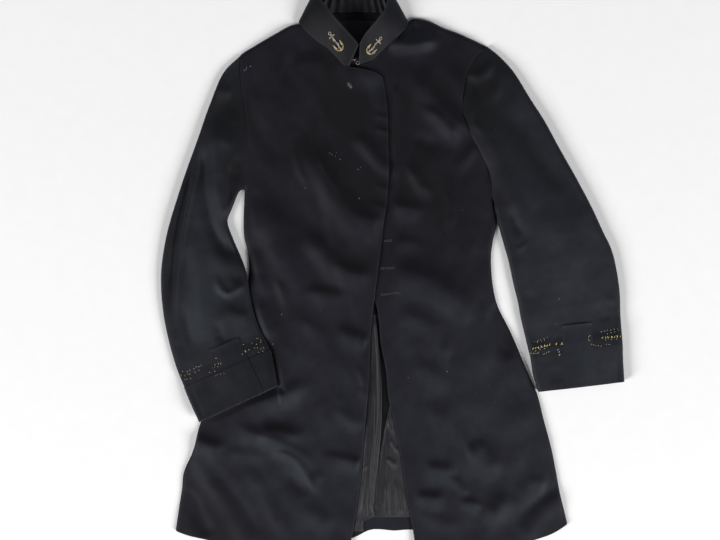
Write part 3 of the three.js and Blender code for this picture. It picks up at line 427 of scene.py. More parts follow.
def beside_line(line, distance):
    """The same line moved sideways, to the left of its run."""
    run = np.gradient(line, axis=0)
    aside = np.stack([-run[:, 1], run[:, 0]], axis=-1)
    return line + distance * aside / np.linalg.norm(aside, axis=1, keepdims=True)


def nearest_on(line, x, y):
    """Distance to a line, how far that is towards +Y (-1 to 1) and the share along the line."""
    away = np.full(x.shape, np.inf)
    above = np.zeros(x.shape)
    share = np.zeros(x.shape)
    run = run_of(line)
    for k in range(len(line) - 1):
        (ax, ay), (bx, by) = line[k], line[k + 1]
        dx, dy = bx - ax, by - ay
        t = np.clip(((x - ax) * dx + (y - ay) * dy) / (dx * dx + dy * dy + 1e-12), 0, 1)
        ex, ey = x - ax - t * dx, y - ay - t * dy
        distance = np.hypot(ex, ey)
        closer = distance < away
        away = np.where(closer, distance, away)
        above = np.where(closer, ey / (distance + 1e-6), above)
        share = np.where(closer, mix(run[k], run[k + 1], t) / run[-1], share)
    return away, above, share


def stations(length, step, fine=(True, True)):
    """Shares along a length, closer together by the ends that are fine, where cloth rolls over."""
    near = np.array([0, 0.35, 0.8, 1.4, 2.2, 3.3, 4.8, 6.6])
    low = near if fine[0] else near[:1]
    high = near if fine[1] else near[:1]
    between = length - low[-1] - high[-1]
    middle = np.linspace(low[-1], length - high[-1], max(round(between / step), 1) + 1)
    return np.concatenate([low[:-1], middle, length - high[-2::-1]]) / length


def rumple(x, y, size, seed):
    """Gentle unevenness between about -1 and 1, in humps of about that size."""
    rng = np.random.default_rng(seed)
    total = np.zeros(x.shape)
    waves = 9
    for _ in range(waves):
        turn, phase = rng.uniform(0, 2 * math.pi, 2)
        wave = 2 * math.pi / (size * rng.uniform(0.8, 1.8))
        total += np.sin(wave * (x * math.cos(turn) + y * math.sin(turn)) + phase)
    return total / waves * 1.6


# ---- heights ----

lap_edge = smooth_line(LAP_EDGE)
hidden_edge = smooth_line(HIDDEN_EDGE)
centre_back = smooth_line(CENTRE_BACK)
sleeve_inner_edge = smooth_line(SLEEVE_ON_SKIRT)
lines = {side: {name: smooth_line(points) for name, points in CUT[side].items()} for side in CUT}


def crease_height(creases, x, y):
    """What all the creases of a table add to the height at x, y."""
    total = np.zeros(x.shape)
    for crease in creases:
        line = smooth_line(crease.line, 5)
        reach = crease.wide * CREASE_REACH
        low, high = line.min(0) - reach, line.max(0) + reach
        close = (x > low[0]) & (x < high[0]) & (y > low[1]) & (y < high[1])
        if not close.any():
            continue
        away, above, share = nearest_on(line, x[close], y[close])
        wide = crease.wide * (1 - STEEPNESS * crease.steep * above)
        rise = smooth(share / crease.from_) if crease.from_ else 1
        fall = smooth((1 - share) / crease.to) if crease.to else 1
        total[close] += crease.high * rise * fall * np.exp(-2 * (away / wide) ** 2)
    return total


# Waves of the cloth: their height and size, the seed that places them, how far they follow the
# pull and how much they are drawn out along it.
WAVES = table("Wave", "high size seed pull squeeze", [
    (1.6, 105, 3, 0, 1), (0.8, 30, 6, PULL, 0.36), (0.35, 42, 5, 0, 1), (0.12, 17, 8, 0, 1),
])


def unevenness(x, y, lean=0):
    """Cloth never lies quite flat: broad slow waves, long ones along its pull, and small ones."""
    total = np.zeros(x.shape)
    for wave in WAVES:
        total += wave.high * rumple(x + lean * wave.pull * y, wave.squeeze * y, wave.size, wave.seed)
    return total


def from_slit(x, y):
    """Distance across the body to the nearer edge of the open slit."""
    return np.minimum(np.abs(x - x_at(lap_edge, y)), np.abs(x - x_at(hidden_edge, y)))


def body_swell(x, y):
    """Air between the layers lifts the body a little, away from its sides and the slit."""
    inside = np.minimum(x - x_at(lines["right"]["side"], y), x_at(lines["left"]["side"], y) - x)
    reach = SWELL["slit_reach"]
    beside_slit = smooth((SWELL["slit_top"] - y) / reach) * smooth(1.15 - from_slit(x, y) / reach)
    return SWELL["high"] * smooth(inside / SWELL["reach"]) * (1 - beside_slit)


def dip(distance, size):
    return size["deep"] * np.exp(-((distance / size["wide"]) ** 2))


def lap_share(x, y):
    """1 where the fronts lie on each other, 0 clear of there."""
    past_hidden = smooth((x - x_at(hidden_edge, y) + LAP_REACH) / LAP_FADE)
    before_lap = smooth((x_at(lap_edge, y) + LAP_FADE - x) / LAP_FADE)
    return past_hidden * before_lap


def clear_of_sleeve(x, y):
    """0 where the right sleeve lies on the skirt, 1 clear of it."""
    inward = smooth((x - x_at(sleeve_inner_edge, y)) / SLEEVE_FADE)
    cuff_foot = np.interp(x, *zip(*UNDER_CUFF_FOOT))
    return np.maximum(inward, smooth((cuff_foot - y) / SLEEVE_FADE))


def beside_sleeve(x, y):
    """The skirt swells a little where it comes out from under the right sleeve."""
    size = SLEEVE_SWELL
    past = x - x_at(sleeve_inner_edge, y)
    along_arm = smooth((size["top"] - y) / 30) * smooth((y - size["foot"]) / 25)
    return size["high"] * smooth((past + 2) / 4) * smooth((size["reach"] - past) / 40) * along_arm


def lap_raise(x, y):
    """How far the left front beneath it lifts the right one."""
    covered = x - x_at(hidden_edge, y) + LAP_COVER + LAP_RAMP
    return (CLOTH + GAP) * smooth(covered / LAP_RAMP)


def front_height(side, x, y):
    """Height of a front's face."""
    folds = FOLD_DEPTH * crease_height(BODY_CREASES, x, y)
    folds = folds + unevenness(x, y, 1 if side == "right" else -1)
    overlap = lap_share(x, y)
    swell = body_swell(x, y)
    lowest = 2 * CLOTH + GAP
    if side == "right":
        folds = folds * clear_of_sleeve(x, y)
        swell = swell * clear_of_sleeve(x, y) + beside_sleeve(x, y)
        flat = FRONT_TOP + lap_raise(x, y)
        lowest = mix(lowest, flat + swell, np.maximum(overlap, slit_side(x, y)))
    else:
        folds = folds * (1 - overlap)
        flat = FRONT_TOP * np.ones(x.shape)
        lowest = mix(lowest, flat, slit_side(x, y))
    height = no_lower(flat + swell + folds, lowest, BODY_SOFTNESS)
    for line in DARTS[side]:
        height = height - dip(nearest_on(smooth_line(line), x, y)[0], DART_DIP)
    height = height - dip(nearest_on(lines[side]["armhole"], x, y)[0], SEAM_DIP)
    for edge in ("side", "shoulder"):
        height = height * roll_at(nearest_on(lines[side][edge], x, y)[0], BODY_ROLL)
    return height


def slit_side(x, y):
    """1 beside the open slit, where the skirt linings run on beneath the fronts."""
    return smooth((36 - from_slit(x, y)) / 26) * smooth((-50 - y) / 30)


# ---- cloth grids: arrays of rows, columns and x, y, z ----


def fill_edges(left, right, low, high, rows, columns):
    """Fills four edges with a grid. Rows climb from low to high, columns run left to right."""
    u, v = columns[None, :, None], rows[:, None, None]
    across = mix(left[:, None, :], right[:, None, :], u)
    upward = mix(low[None, :, :], high[None, :, :], v)
    corners = mix(mix(low[0], low[-1], u), mix(high[0], high[-1], u), v)
    return across + upward - corners


def lift(plan, heights):
    return np.dstack([plan[..., 0], plan[..., 1], heights])


def normals_of(grid, closed=False):
    if closed:
        across = np.roll(grid, -1, axis=1) - np.roll(grid, 1, axis=1)
    else:
        across = np.gradient(grid, axis=1)
    found = np.cross(across, np.gradient(grid, axis=0))
    return found / np.maximum(np.linalg.norm(found, axis=2, keepdims=True), 1e-9)


def moved_out(grid, distance, closed):
    """The grid moved along its own normals, no lower than the ground."""
    moved = grid + distance * normals_of(grid, closed)
    moved[..., 2] = np.maximum(moved[..., 2], 0)
    return moved


def run_across(grid, closed=False):
    """Length of the way across each row to each column; a closed row ends with its whole round."""
    whole = np.concatenate([grid, grid[:, :1]], axis=1) if closed else grid
    steps = np.linalg.norm(np.diff(whole, axis=1), axis=2)
    return np.concatenate([np.zeros((len(grid), 1)), np.cumsum(steps, axis=1)], axis=1)


def run_upward(grid):
    steps = np.linalg.norm(np.diff(grid, axis=0), axis=2)
    return np.concatenate([np.zeros((1, grid.shape[1])), np.cumsum(steps, axis=0)], axis=0)


def point_numbers(rows, columns):
    return np.arange(rows * columns).reshape(rows, columns)


def border(rows, columns, closed):
    """The grid's rims, each as the numbers of its points and of their neighbours inwards."""
    at = point_numbers(rows, columns)
    if closed:
        return [(at[0], at[1]), (at[-1, ::-1], at[-2, ::-1])]
    low_inner = at[1, np.clip(np.arange(columns), 1, columns - 2)]
    edge = [at[0], at[1:, -1], at[-1, -2::-1], at[-2:0:-1, 0]]
    inner = [low_inner, at[1:, -2], at[-2, -2::-1], at[-2:0:-1, 1]]
    return [(np.concatenate(edge), np.concatenate(inner))]


def face_quads(rows, columns, closed):
    """Corners of the quads of a grid."""
    at = point_numbers(rows, columns)
    onward = np.roll(at, -1, axis=1)
    spans = columns if closed else columns - 1
    corners = [at[:-1], onward[:-1], onward[1:], at[1:]]
    return np.stack([numbers[:, :spans] for numbers in corners], axis=-1).reshape(-1, 4)


RIM_TURNS = [math.pi * share for share in (0.25, 0.5, 0.75)]


def rounded_rim(face, back, edge, inner, start):
    """Points of a half-round edge from the face to the back along a rim, and its quads."""
    top, low = face[edge], back[edge]
    outward = top - face[inner]
    outward /= np.maximum(np.linalg.norm(outward, axis=1, keepdims=True), 1e-9)
    half = (top - low) / 2
    thick = np.linalg.norm(half, axis=1, keepdims=True)
    points = np.concatenate([(top + low) / 2 + half * math.cos(turn) + outward * thick * math.sin(turn)
                             for turn in RIM_TURNS])
    points[:, 2] = np.maximum(points[:, 2], 0)
    rings = start + point_numbers(len(RIM_TURNS), len(edge))
    chain = [edge, *rings, edge + len(face)]
    quads = [np.stack([a, b, np.roll(b, -1), np.roll(a, -1)], axis=1) for a, b in zip(chain, chain[1:])]
    return points, np.concatenate(quads), np.tile(edge, len(RIM_TURNS))


def volume_of(points, quads):
    a, b, c, d = (points[quads[:, k]] for k in range(4))
    return np.einsum("ij,ij->i", a, np.cross(b, c) + np.cross(c, d)).sum()


def add_piece(name, points, faces):
    """A smooth mesh object made from points in millimetres."""
    mesh = bpy.data.meshes.new(name)
    mesh.from_pydata((points * MM).tolist(), [], faces)
    mesh.polygons.foreach_set("use_smooth", np.ones(len(faces), bool))
    mesh.update()
    piece = bpy.data.objects.new(name, mesh)
    bpy.context.scene.collection.objects.link(piece)
    return piece


def sew(name, face, wall, closed=False, worn=0, fade_and_painted_light=0):
    """A closed cloth wall under a grid, with rounded edges, from millimetres. Its UV map is in
    metres along the cloth. Its last two arguments are numbers over the grid that its finish reads: how worn
    the cloth is, and how far its colour has gone together with painted shade and painted highlight."""
    rows, columns = face.shape[:2]
    face_points, back_points = face.reshape(-1, 3), moved_out(face, -wall, closed).reshape(-1, 3)
    quads = face_quads(rows, columns, closed)
    points = [face_points, back_points]
    faces = [quads, quads[:, ::-1] + rows * columns]
    sources = [np.arange(rows * columns)] * 2
    count = 2 * rows * columns
    for edge, inner in border(rows, columns, closed):
        more, ring, source = rounded_rim(face_points, back_points, edge, inner, count)
        points.append(more)
        faces.append(ring)
        sources.append(source)
        count += len(more)
    points, faces, sources = np.concatenate(points), np.concatenate(faces), np.concatenate(sources)
    piece = add_piece(name, points, faces.tolist())
    across = run_across(face, closed)
    u = across[:, :columns].ravel()[sources[faces]]
    v = run_upward(face).ravel()[sources[faces]]
    if closed:
        last = np.arange(1, rows) * columns - 1
        for first in (0, len(quads)):
            for corner in (1, 2):
                u[first + last, corner] = across[:-1, -1]
    layer = piece.data.uv_layers.new(name="cloth")
    layer.data.foreach_set("uv", np.stack([u, v], axis=-1).ravel() * MM)
    for label, values in (("worn", worn), ("fade_and_painted_light", fade_and_painted_light)):
        spread_out = np.broadcast_to(values, (rows, columns)).ravel()
        attribute = piece.data.attributes.new(label, "FLOAT", "POINT")
        attribute.data.foreach_set("value", spread_out[sources].astype(np.float32))
    if volume_of(points, faces) < 0:
        piece.data.flip_normals()
    return piece


def wear_by_edges(grid, low=0, high=0, left=0, right=0, reach=1.6, closed=False):
    """Rubbed cloth along the edges that are finished, each with its own strength."""
    across, upward = run_across(grid)[:, :grid.shape[1]], run_upward(grid)
    edges = [(upward, low), (upward[-1:] - upward, high)]
    if not closed:
        edges += [(across, left), (across[:, -1:] - across, right)]
    return np.max([strength * np.exp(-((run / reach) ** 2)) for run, strength in edges], axis=0)


# Patches where the colour of the cloth has gone or been kept, and patches of painted shade and painted light
# that stand in for the shading of folds, sleeves and cuffs: a place, how far it reaches and how much.
FADE_AND_PAINTED_LIGHT_PATCHES = table("Patch", "x y wide tall much", [
    (-130, 200, 130, 190, -0.75),
    (-60, 270, 70, 60, -0.5),
    (-85, 110, 60, 55, -0.4),
    (85, 110, 60, 55, -0.35),
    (160, 260, 36, 50, -0.4),
    (60, 180, 110, 170, -0.7),
    (100, 320, 80, 60, -0.5),
    (-80, -20, 150, 60, -0.25),
    (110, -10, 80, 60, -0.35),
    (-160, -310, 180, 150, 0.45),
    (180, -250, 140, 190, 0.58),
    (-300, -60, 70, 120, 0.75),
    (-300, 120, 60, 110, 0.4),
    (300, -20, 110, 130, 0.7),
    (230, 170, 80, 110, 0.15),
    (-35, 298, 24, 20, 1.0),
    (-24, 266, 14, 26, 0.8),
    (-96, 300, 34, 50, -0.25),
    (-263, 249, 32, 27, -1.65),
    (-335, 124, 12, 50, -0.9),
    (-351, 34, 12, 56, -0.9),
    (-359, -52, 11, 44, -0.7),
    (-255, 156, 13, 36, -1.35),
    (-256, -20, 14, 9, -1.5),
    (-243, -10, 10, 14, -1.1),
    (-256, -66, 24, 15, -1.5),
    (-274, 26, 24, 12, -1.0),
    (-193, -150, 8, 22, -1.7),
    (-292, -404, 58, 44, -0.65),
    (-318, -330, 30, 26, 0.35),
    (345, -158, 32, 34, 0.45),
    (140, 292, 14, 15, -1.3),
    (136, 331, 9, 7, -0.7),
    (194, -128, 17, 27, -1.2),
    (-288, -268, 28, 15, -0.45),
    (-178, -256, 36, 15, -0.5),
    (-62, -300, 22, 10, -0.4),
    (-60, -97, 26, 12, -0.5),
    (82, -314, 24, 9, -0.35),
    (66, -362, 24, 8, -0.35),
    (160, -378, 18, 20, -0.6),
    (170, -310, 22, 22, -0.4),
    (257, -373, 15, 12, -0.4),
    (-60, 12, 30, 22, -0.5),
])


def fade_and_painted_light_at(x, y, folds=()):
    """How far the colour has gone, with painted shade and painted light: in listed patches, and as painted
    highlight on the crests of the folds.
    """
    total = CREST_PAINTED_HIGHLIGHT * crease_height(folds, x, y)
    for patch in FADE_AND_PAINTED_LIGHT_PATCHES:
        away = ((x - patch.x) / patch.wide) ** 2 + ((y - patch.y) / patch.tall) ** 2
        total += patch.much * np.exp(-away)
    return total


def slope_painted_light(grid):
    """Painted shade and painted light by slope: flanks that face the collar are made darker, and flanks that
    face the hem lighter.
    """
    facing = normals_of(grid)
    toward_collar = facing[..., 1] * np.sign(facing[..., 2])
    return -np.clip(SLOPE_PAINTED_LIGHT_STRENGTH * toward_collar, -0.5, 0.9)


# ---- fronts and backs ----


def outer_stations(side_line, armhole, step):
    """Shares up the side seam, shares up the armhole, and the rows of the panel that they make."""
    by_side = stations(length_of(side_line), step, (True, False))
    by_armhole = stations(length_of(armhole), step, (False, True))[1:]
    rows = np.concatenate([by_side * SIDE_SHARE, mix(SIDE_SHARE, 1, by_armhole)])
    outer = np.concatenate([along(side_line, by_side), along(armhole, by_armhole)])
    return outer, rows


def body_plan(side, outer, middle, low, high, rows, columns):
    """A body panel in plan; the left ones are turned round, so that columns run towards +X."""
    plan = fill_edges(outer, along(middle, rows), along(low, columns), along(high, columns), rows, columns)
    return plan if side == "right" else plan[:, ::-1]


def front(side, middle):
    line = lines[side]
    outer, rows = outer_stations(line["side"], line["armhole"], STEP["front"])
    high = np.vstack([line["shoulder"], line["neck"][1:]])
    neck_point = length_of(line["shoulder"]) / length_of(high)
    width = length_of(line["hem"])
    by_shoulder = stations(width * neck_point, STEP["front"], (True, False)) * neck_point
    by_neck = mix(neck_point, 1, stations(width * (1 - neck_point), STEP["front"], (False, True))[1:])
    columns = np.concatenate([by_shoulder, by_neck])
    plan = body_plan(side, outer, middle, line["hem"], high, rows, columns)
    x, y = plan[..., 0], plan[..., 1]
    face = lift(plan, front_height(side, x, y))
    middle_edge = {"right": 0.16} if side == "right" else {"left": 0.1}
    worn = wear_by_edges(face, low=0.12, high=0.2, **middle_edge)
    # Painted shade and painted light come in with the fading: from the patches, the fold crests and the
    # slopes.
    fade_and_painted_light = fade_and_painted_light_at(x, y, BODY_CREASES) + slope_painted_light(face)
    return sew(f"{side}_front", face, CLOTH, worn=worn, fade_and_painted_light=fade_and_painted_light)


# The part of the backs that shows between the skirt linings in the slit, darkened there with painted shade.
SLIT_SHADE = {"x": -15, "half": 30, "top": -70, "foot": -400, "dark": 2.2}


def back(side, middle):
    line = lines[side]
    inward = -1 if side == "right" else 1
    inset_side = beside_line(line["side"], inward * BACK_INSET)
    inset_shoulder = beside_line(line["shoulder"], inward * SHOULDER_INSET)
    clear_neck = line["back_neck"][run_of(line["back_neck"]) > SHOULDER_INSET]
    high = np.vstack([inset_shoulder, clear_neck])
    outer, rows = outer_stations(inset_side, line["armhole"], STEP["back"])
    columns = stations(length_of(line["back_hem"]), STEP["back"])
    plan = body_plan(side, outer, middle, line["back_hem"], high, rows, columns)
    x, y = plan[..., 0], plan[..., 1]
    shade = SLIT_SHADE
    open_slit = smooth((shade["half"] - np.abs(x - shade["x"])) / 20)
    open_slit = open_slit * smooth((shade["top"] - y) / 20) * smooth((y - shade["foot"]) / 12)
    shaded = fade_and_painted_light_at(x, y) * (1 - open_slit) - shade["dark"] * open_slit
    folds = 0.25 * np.maximum(rumple(x, y, 70, 21), 0)
    return sew(f"{side}_back", lift(plan, CLOTH + folds), CLOTH, fade_and_painted_light=shaded)


# ---- linings that show ----

# Folds of the satin in the slit: the same columns as the creases of the cloth.
LINING_CREASES = table("Crease", CREASE_COLUMNS, [
    ([(-26, -80), (-22, -150), (-21, -230), (-26, -300), (-35, -400)], 4, 2.6, 0, 0.05, 0.05),
    ([(-30, -150), (-27, -240), (-32, -320), (-41, -405)], 2.4, 0.9, 0, 0.3, 0.1),
    ([(-38, -230), (-42, -300), (-52, -400)], 4, 1.2, 0, 0.4, 0.1),
    ([(-33, -215), (-36, -280), (-39, -330)], 2.2, 0.8, 0, 0.4, 0.4),
    ([(-47, -340), (-52, -390), (-56, -418)], 2.4, 0.8, 0, 0.4, 0.1),
    ([(-23, -318), (-25, -350), (-29, -392)], 2.2, 1.4, 0, 0.4, 0.3),
    ([(-7, -238), (-2, -258), (4, -276)], 4, 1.9, 0, 0.3, 0.4),
    ([(-4, -276), (5, -292), (13, -306)], 4, 1.9, 0, 0.3, 0.4),
    ([(-12, -312), (-2, -314), (8, -328)], 6, 2.6, 0, 0.3, 0.4),
    ([(-9, -340), (-8, -372), (-8, -402)], 5, 2.0, 0, 0.4, 0.1),
    ([(6, -340), (11, -376), (14, -402)], 6, 1.9, 0, 0.4, 0.1),
    ([(20, -356), (25, -402)], 4, 1.6, 0, 0.4, 0.1),
    ([(-48, -262), (-36, -255)], 2.6, 0.6, 0, 0.4, 0.4),
    ([(-50, -330), (-36, -318)], 3, 0.6, 0, 0.4, 0.4),
])
LINING_UNDER_FRONT = 20
# The upper and lower edges of the satin, how wide its curled edge is and how far it curls down.
LINING_TOP = -75
LINING_FOOT = {"right": -428, "left": -405}
LINING_CURL = {"share": 0.1, "down": 1.6, "above": 4}
# The right lining's corner, cut back below a level, and the satin's gathers above the hem.
LINING_CORNER = {"x": -46, "below": -405}
GATHERS = {"top": -372, "foot": -430}
# The far side of the gap that the two skirt linings leave.
GAP_SIDE = smooth_line([(-32, -430), (-29, -378), (-24, -340), (-19, -305), (-14, -275), (-8, -245),
                        (-3, -222), (-3, -200), (-9, -150), (-16, -110), (-25, -60)])


def lining_height(x, y):
    """The satin lies low under the fronts and billows between them."""
    low = CLOTH + GAP + LINING
    inside = np.minimum(x - x_at(lap_edge, y), x_at(hidden_edge, y) - x)
    free = smooth((inside + 3) / 7)
    wrinkles = 0.5 * rumple(x * 2.2, y, 16, 31) + 0.35 * np.sin(x * 1.1 + 1.4 * rumple(x, y, 40, 33))
    gathered = smooth((GATHERS["top"] - y) / 22) * smooth((y - GATHERS["foot"]) / 10)
    gathers = 0.5 * np.sin(x * 0.95 + 0.6 * np.sin(x * 0.31)) * gathered
    puff = 1.2 + 0.35 * wrinkles + gathers + crease_height(LINING_CREASES, x, y)
    return no_lower(low + free * puff, low, 0.15)


def spread(xs, ys, columns):
    """A grid in plan of rows at ys, each with its own xs or columns of them."""
    return np.dstack([xs, np.repeat(ys[:, None], columns, axis=1)])


def skirt_lining(side):
    foot = LINING_FOOT[side]
    ys = np.linspace(foot, LINING_TOP, round((LINING_TOP - foot) / STEP["lining"]))
    columns = np.linspace(0, 1, 46)
    if side == "right":
        left_edge = x_at(lap_edge, ys) - LINING_UNDER_FRONT
        right_edge = x_at(smooth_line(LINING_VALLEY), ys) - GAP
        right_edge = mix(right_edge, LINING_CORNER["x"], smooth((LINING_CORNER["below"] - ys) / 8))
        inward = columns[None, :]
    else:
        left_edge = x_at(GAP_SIDE, ys)
        right_edge = x_at(hidden_edge, ys) + LINING_UNDER_FRONT
        inward = 1 - columns[None, :]
    plan = spread(mix(left_edge[:, None], right_edge[:, None], columns), ys, len(columns))
    heights = lining_height(plan[..., 0], plan[..., 1])
    curled = smooth((inward - (1 - LINING_CURL["share"])) / LINING_CURL["share"])
    heights = heights - LINING_CURL["down"] * curled * (heights > LINING_CURL["above"])
    face = lift(plan, heights)
    return sew(f"{side}_skirt_lining", face, LINING * 0.7, worn=wear_by_edges(face, low=0.6))


def neck_lining():
    """A rounded shield of satin inside the neck."""
    shield = NECK_SHIELD
    ys = np.linspace(shield["low"], shield["high"], 34)
    down = (shield["high"] - ys) / (shield["high"] - shield["low"])
    half = shield["half_width"] * np.sqrt(1 - (down * shield["roundness"]) ** 2)
    columns = np.linspace(-1, 1, 46)
    plan = spread(shield["middle"] + half[:, None] * columns, ys, len(columns))
    height = CLOTH + GAP + LINING + 0.4 * rumple(plan[..., 0], plan[..., 1], 22, 41)
    return sew("neck_lining_satin", lift(plan, no_lower(height, 3.0, 0.1)), LINING)


# ---- sleeves and cuffs ----

PER_SECTION = 12
SECTION_REACH = 20       # about how far apart two sections of an arm lie near its cuff
UNDER_SLEEVE_LIFT = 1.1  # how far the folds of a sleeve's under side lift it


def arm_lines(side):
    """The arm's table drawn out into fine rows, PER_SECTION of them to a section."""
    rows = ARM[side]
    hole = armhole_line(side)
    outer = [(row.outer_x, row.outer_y) for row in rows]
    inner = [(row.inner_x, row.inner_y) for row in rows]
    outer[0], inner[0] = tuple(hole[0]), tuple(hole[-1])
    fine = np.arange((len(rows) - 1) * PER_SECTION + 1) / PER_SECTION
    columns = {"outer": smooth_line(outer, PER_SECTION), "inner": smooth_line(inner, PER_SECTION)}
    for name in ("bow", "high", "raised"):
        columns[name] = np.interp(fine, np.arange(len(rows)), [getattr(row, name) for row in rows])
    return fine, columns


def armhole_line(side):
    """The armhole from the shoulder down to the armpit, just clear of the body."""
    outward = -ARMHOLE_GAP if side == "right" else ARMHOLE_GAP
    return lines[side]["armhole"][::-1] + np.array([outward, 0])


def arm_at(side, positions):
    """The arm's columns at positions down the sleeve, in sections of its table."""
    fine, columns = arm_lines(side)
    arm = {name: read_at(positions, fine, values) for name, values in columns.items()}
    arm["width"] = np.linalg.norm(arm["outer"] - arm["inner"], axis=1)
    return arm


def across_arm(side, arm, share):
    """Places across the arm, in plan: a share of the width for each of its rows."""
    hole = armhole_line(side)
    bow = along(hole, share) - mix(hole[0], hole[-1], share[..., None])
    outer, inner = arm["outer"][:, None, :], arm["inner"][:, None, :]
    return mix(outer, inner, share[..., None]) + bow * arm["bow"][:, None, None]


def rest_height(side, x, y):
    """The ground under an arm: the right sleeve climbs onto the side of the skirt."""
    if side == "left":
        return np.zeros(x.shape)
    beside_body = smooth((SLEEVE_BEGINS - y) / SLEEVE_BEGINS)
    beyond_side = x - x_at(lines["right"]["side"], y) + SLEEVE_CLEAR
    return SLEEVE_LIFT * beside_body * smooth((beyond_side + SLEEVE_RAMP) / SLEEVE_RAMP)


def stretch(kind, start, end, width, step, fine=(False, False)):
    """Stations of one stretch round the arm: its kind and how far in from the outer edge."""
    shares = stations(width, step, fine)
    return kind, mix(np.asarray(start)[:, None], np.asarray(end)[:, None], shares)


def round_stations(side, arm):
    """The stretches round the arm from the fore seam up over the top and back underneath. The
    lengths given to each stretch only set how many stations it has."""
    width = arm["width"]
    edge = arm["high"] * EDGE_SHARE / 2
    hind = np.full(len(width), float(HIND_SEAM[side]))
    fore = width - FORE_SEAM
    split = SEAM_SPLIT / 2
    span = width.mean()
    step = STEP["sleeve"]
    front_turn = ("inner", np.linspace(math.pi, 0, 9)[None, 1:-1])
    back_turn = ("outer", np.linspace(0, math.pi, 9)[None, 1:-1])
    under_fore = stretch("under", fore + split, width - edge, FORE_SEAM, step)
    if side == "right":
        top_piece = [under_fore, front_turn,
                     stretch("top", width - edge, hind + split, span - 30, step, (False, True))]
        under_piece = [stretch("top", hind - split, edge, 19, step, (True, False)), back_turn,
                       stretch("under", edge, fore - split, span - 20, step * 2)]
    else:
        top_piece = [under_fore, front_turn, stretch("top", width - edge, edge, span - 10, step),
                     back_turn, stretch("under", edge, hind - split, 9, step)]
        under_piece = [stretch("under", hind + split, fore - split, span - 26, step * 2)]
    return top_piece, under_piece


def ring_part(side, arm, stretches):
    """Points of one piece of a sleeve, on the outside of the cloth."""
    width, high, raised = (arm[name][:, None] for name in ("width", "high", "raised"))
    edge = high * EDGE_SHARE / 2
    blocks = []
    for kind, values in stretches:
        inward, z = values, np.zeros(values.shape)
        if kind in ("outer", "inner"):
            swing = edge * np.sin(values)
            inward = edge - swing if kind == "outer" else width - edge + swing
            z = edge + edge * np.cos(values)
        elif kind == "top":
            z = high * mix(EDGE_SHARE, 1, np.sin(math.pi * inward / width))
        plan = across_arm(side, arm, inward / width)
        x, y = plan[..., 0], plan[..., 1]
        z = z + rest_height(side, x, y) + raised
        from_edge = np.minimum(inward, width - inward) - edge
        if kind == "top":
            z = z + top_folds(side, x, y, inward, from_edge, high)
        elif kind == "under":
            z = z + under_folds(x, y, from_edge, raised)
        blocks.append(lift(plan, z))
    return np.concatenate(blocks, axis=1)


def top_folds(side, x, y, inward, from_edge, high):
    """Creases of the top of a sleeve, kept above the layers beneath it."""
    folds = SLEEVE_FOLD_DEPTH * crease_height(SLEEVE_CREASES[side], x, y) + unevenness(x, y)
    seam = 0.12 * dip(inward - HIND_SEAM[side], DART_DIP) if side == "right" else 0
    head = dip(nearest_on(armhole_line(side), x, y)[0], SEAM_DIP)
    room = np.maximum(high - 2 * CLOTH - GAP, 0.3)
    return no_lower(folds * smooth((from_edge + 1) / 6), -room, 0.4) - seam - head


def under_folds(x, y, from_edge, raised):
    """A few shallow humps that lift the under side of a sleeve, but not inside its cuff."""
    humps = np.maximum(rumple(x, y, 46, 17), 0)
    return UNDER_SLEEVE_LIFT * smooth(from_edge / 8) * humps * smooth((5 - raised) / 4)


def sleeve_rows(side, start, end, step):
    """Positions down the sleeve between two sections, evenly spaced on the cloth."""
    fine, columns = arm_lines(side)
    middle = (columns["outer"] + columns["inner"]) / 2
    run = run_of(middle)
    low, high = np.interp([start, end], fine, run)
    return np.interp(mix(low, high, stations(high - low, step)), run, fine)


# Where the lace lay above each cuff: its line and half its width.
LACE_GHOSTS = {
    "right": [([(-349, -174), (-330, -178), (-312, -172), (-296, -163), (-280, -158)], 9),
              ([(-245, -138), (-228, -127), (-203, -121)], 11)],
    "left": [([(226, -128), (252, -123), (286, -118)], 11),
             ([(316, -116), (345, -112), (372, -108)], 12)],
}
LACE_SHADE = 0.7


def lace_fading(side, x, y):
    """Cloth that the lace covered has kept its colour, in a band above the cuff."""
    shade = np.zeros(x.shape)
    for line, wide in LACE_GHOSTS[side]:
        away, _, share = nearest_on(smooth_line(line, 6), x, y)
        ends = smooth(share / 0.04) * smooth((1 - share) / 0.04)
        shade = np.maximum(shade, smooth((wide - away) / 6) * ends)
    return -LACE_SHADE * shade


def sleeve(side):
    positions = sleeve_rows(side, 0, len(ARM[side]) - 1, STEP["sleeve"])
    arm = arm_at(side, positions)
    above_cuff = (CUFF_SECTION[side] - positions) * SECTION_REACH
    # Painted shadow: the sleeve is darkened in a thin band just above the cuff's top edge.
    cuff_edge_painted_shadow = 0.7 * np.exp(-(above_cuff[:, None] / 2.2) ** 2)
    pieces = []
    for name, stretches in zip(("top", "under"), round_stations(side, arm)):
        grid = ring_part(side, arm, stretches)
        x, y = grid[..., 0], grid[..., 1]
        fade_and_painted_light = fade_and_painted_light_at(x, y, SLEEVE_CREASES[side]) + lace_fading(side, x, y)
        # Painted shade and light by slope, and the painted shadow above the cuff, go into the fading.
        fade_and_painted_light = fade_and_painted_light + 0.6 * slope_painted_light(grid) - cuff_edge_painted_shadow
        worn = wear_by_edges(grid, left=0.02, right=0.02)
        pieces.append(sew(f"{side}_{name}_sleeve", grid, CLOTH, worn=worn, fade_and_painted_light=fade_and_painted_light))
    return pieces


def whole_ring(side, start, end, step):
    """The sleeve all round, as a closed grid."""
    arm = arm_at(side, sleeve_rows(side, start, end, step))
    top_piece, under_piece = round_stations(side, arm)
    return ring_part(side, arm, top_piece + under_piece)


CUFF_FADING = {"right": -0.45, "left": 0.1}
CUFF_SEAMS = {
    "right": [([(-321, -196), (-308, -224), (-296, -250)], 0.45), ([(-221, -168), (-213, -204)], -0.15)],
    "left": [([(236, -150), (240, -196)], 0.25)],
}
CUFF_TOP_SIDE = 9        # the height above which a cuff's face is on its upper side


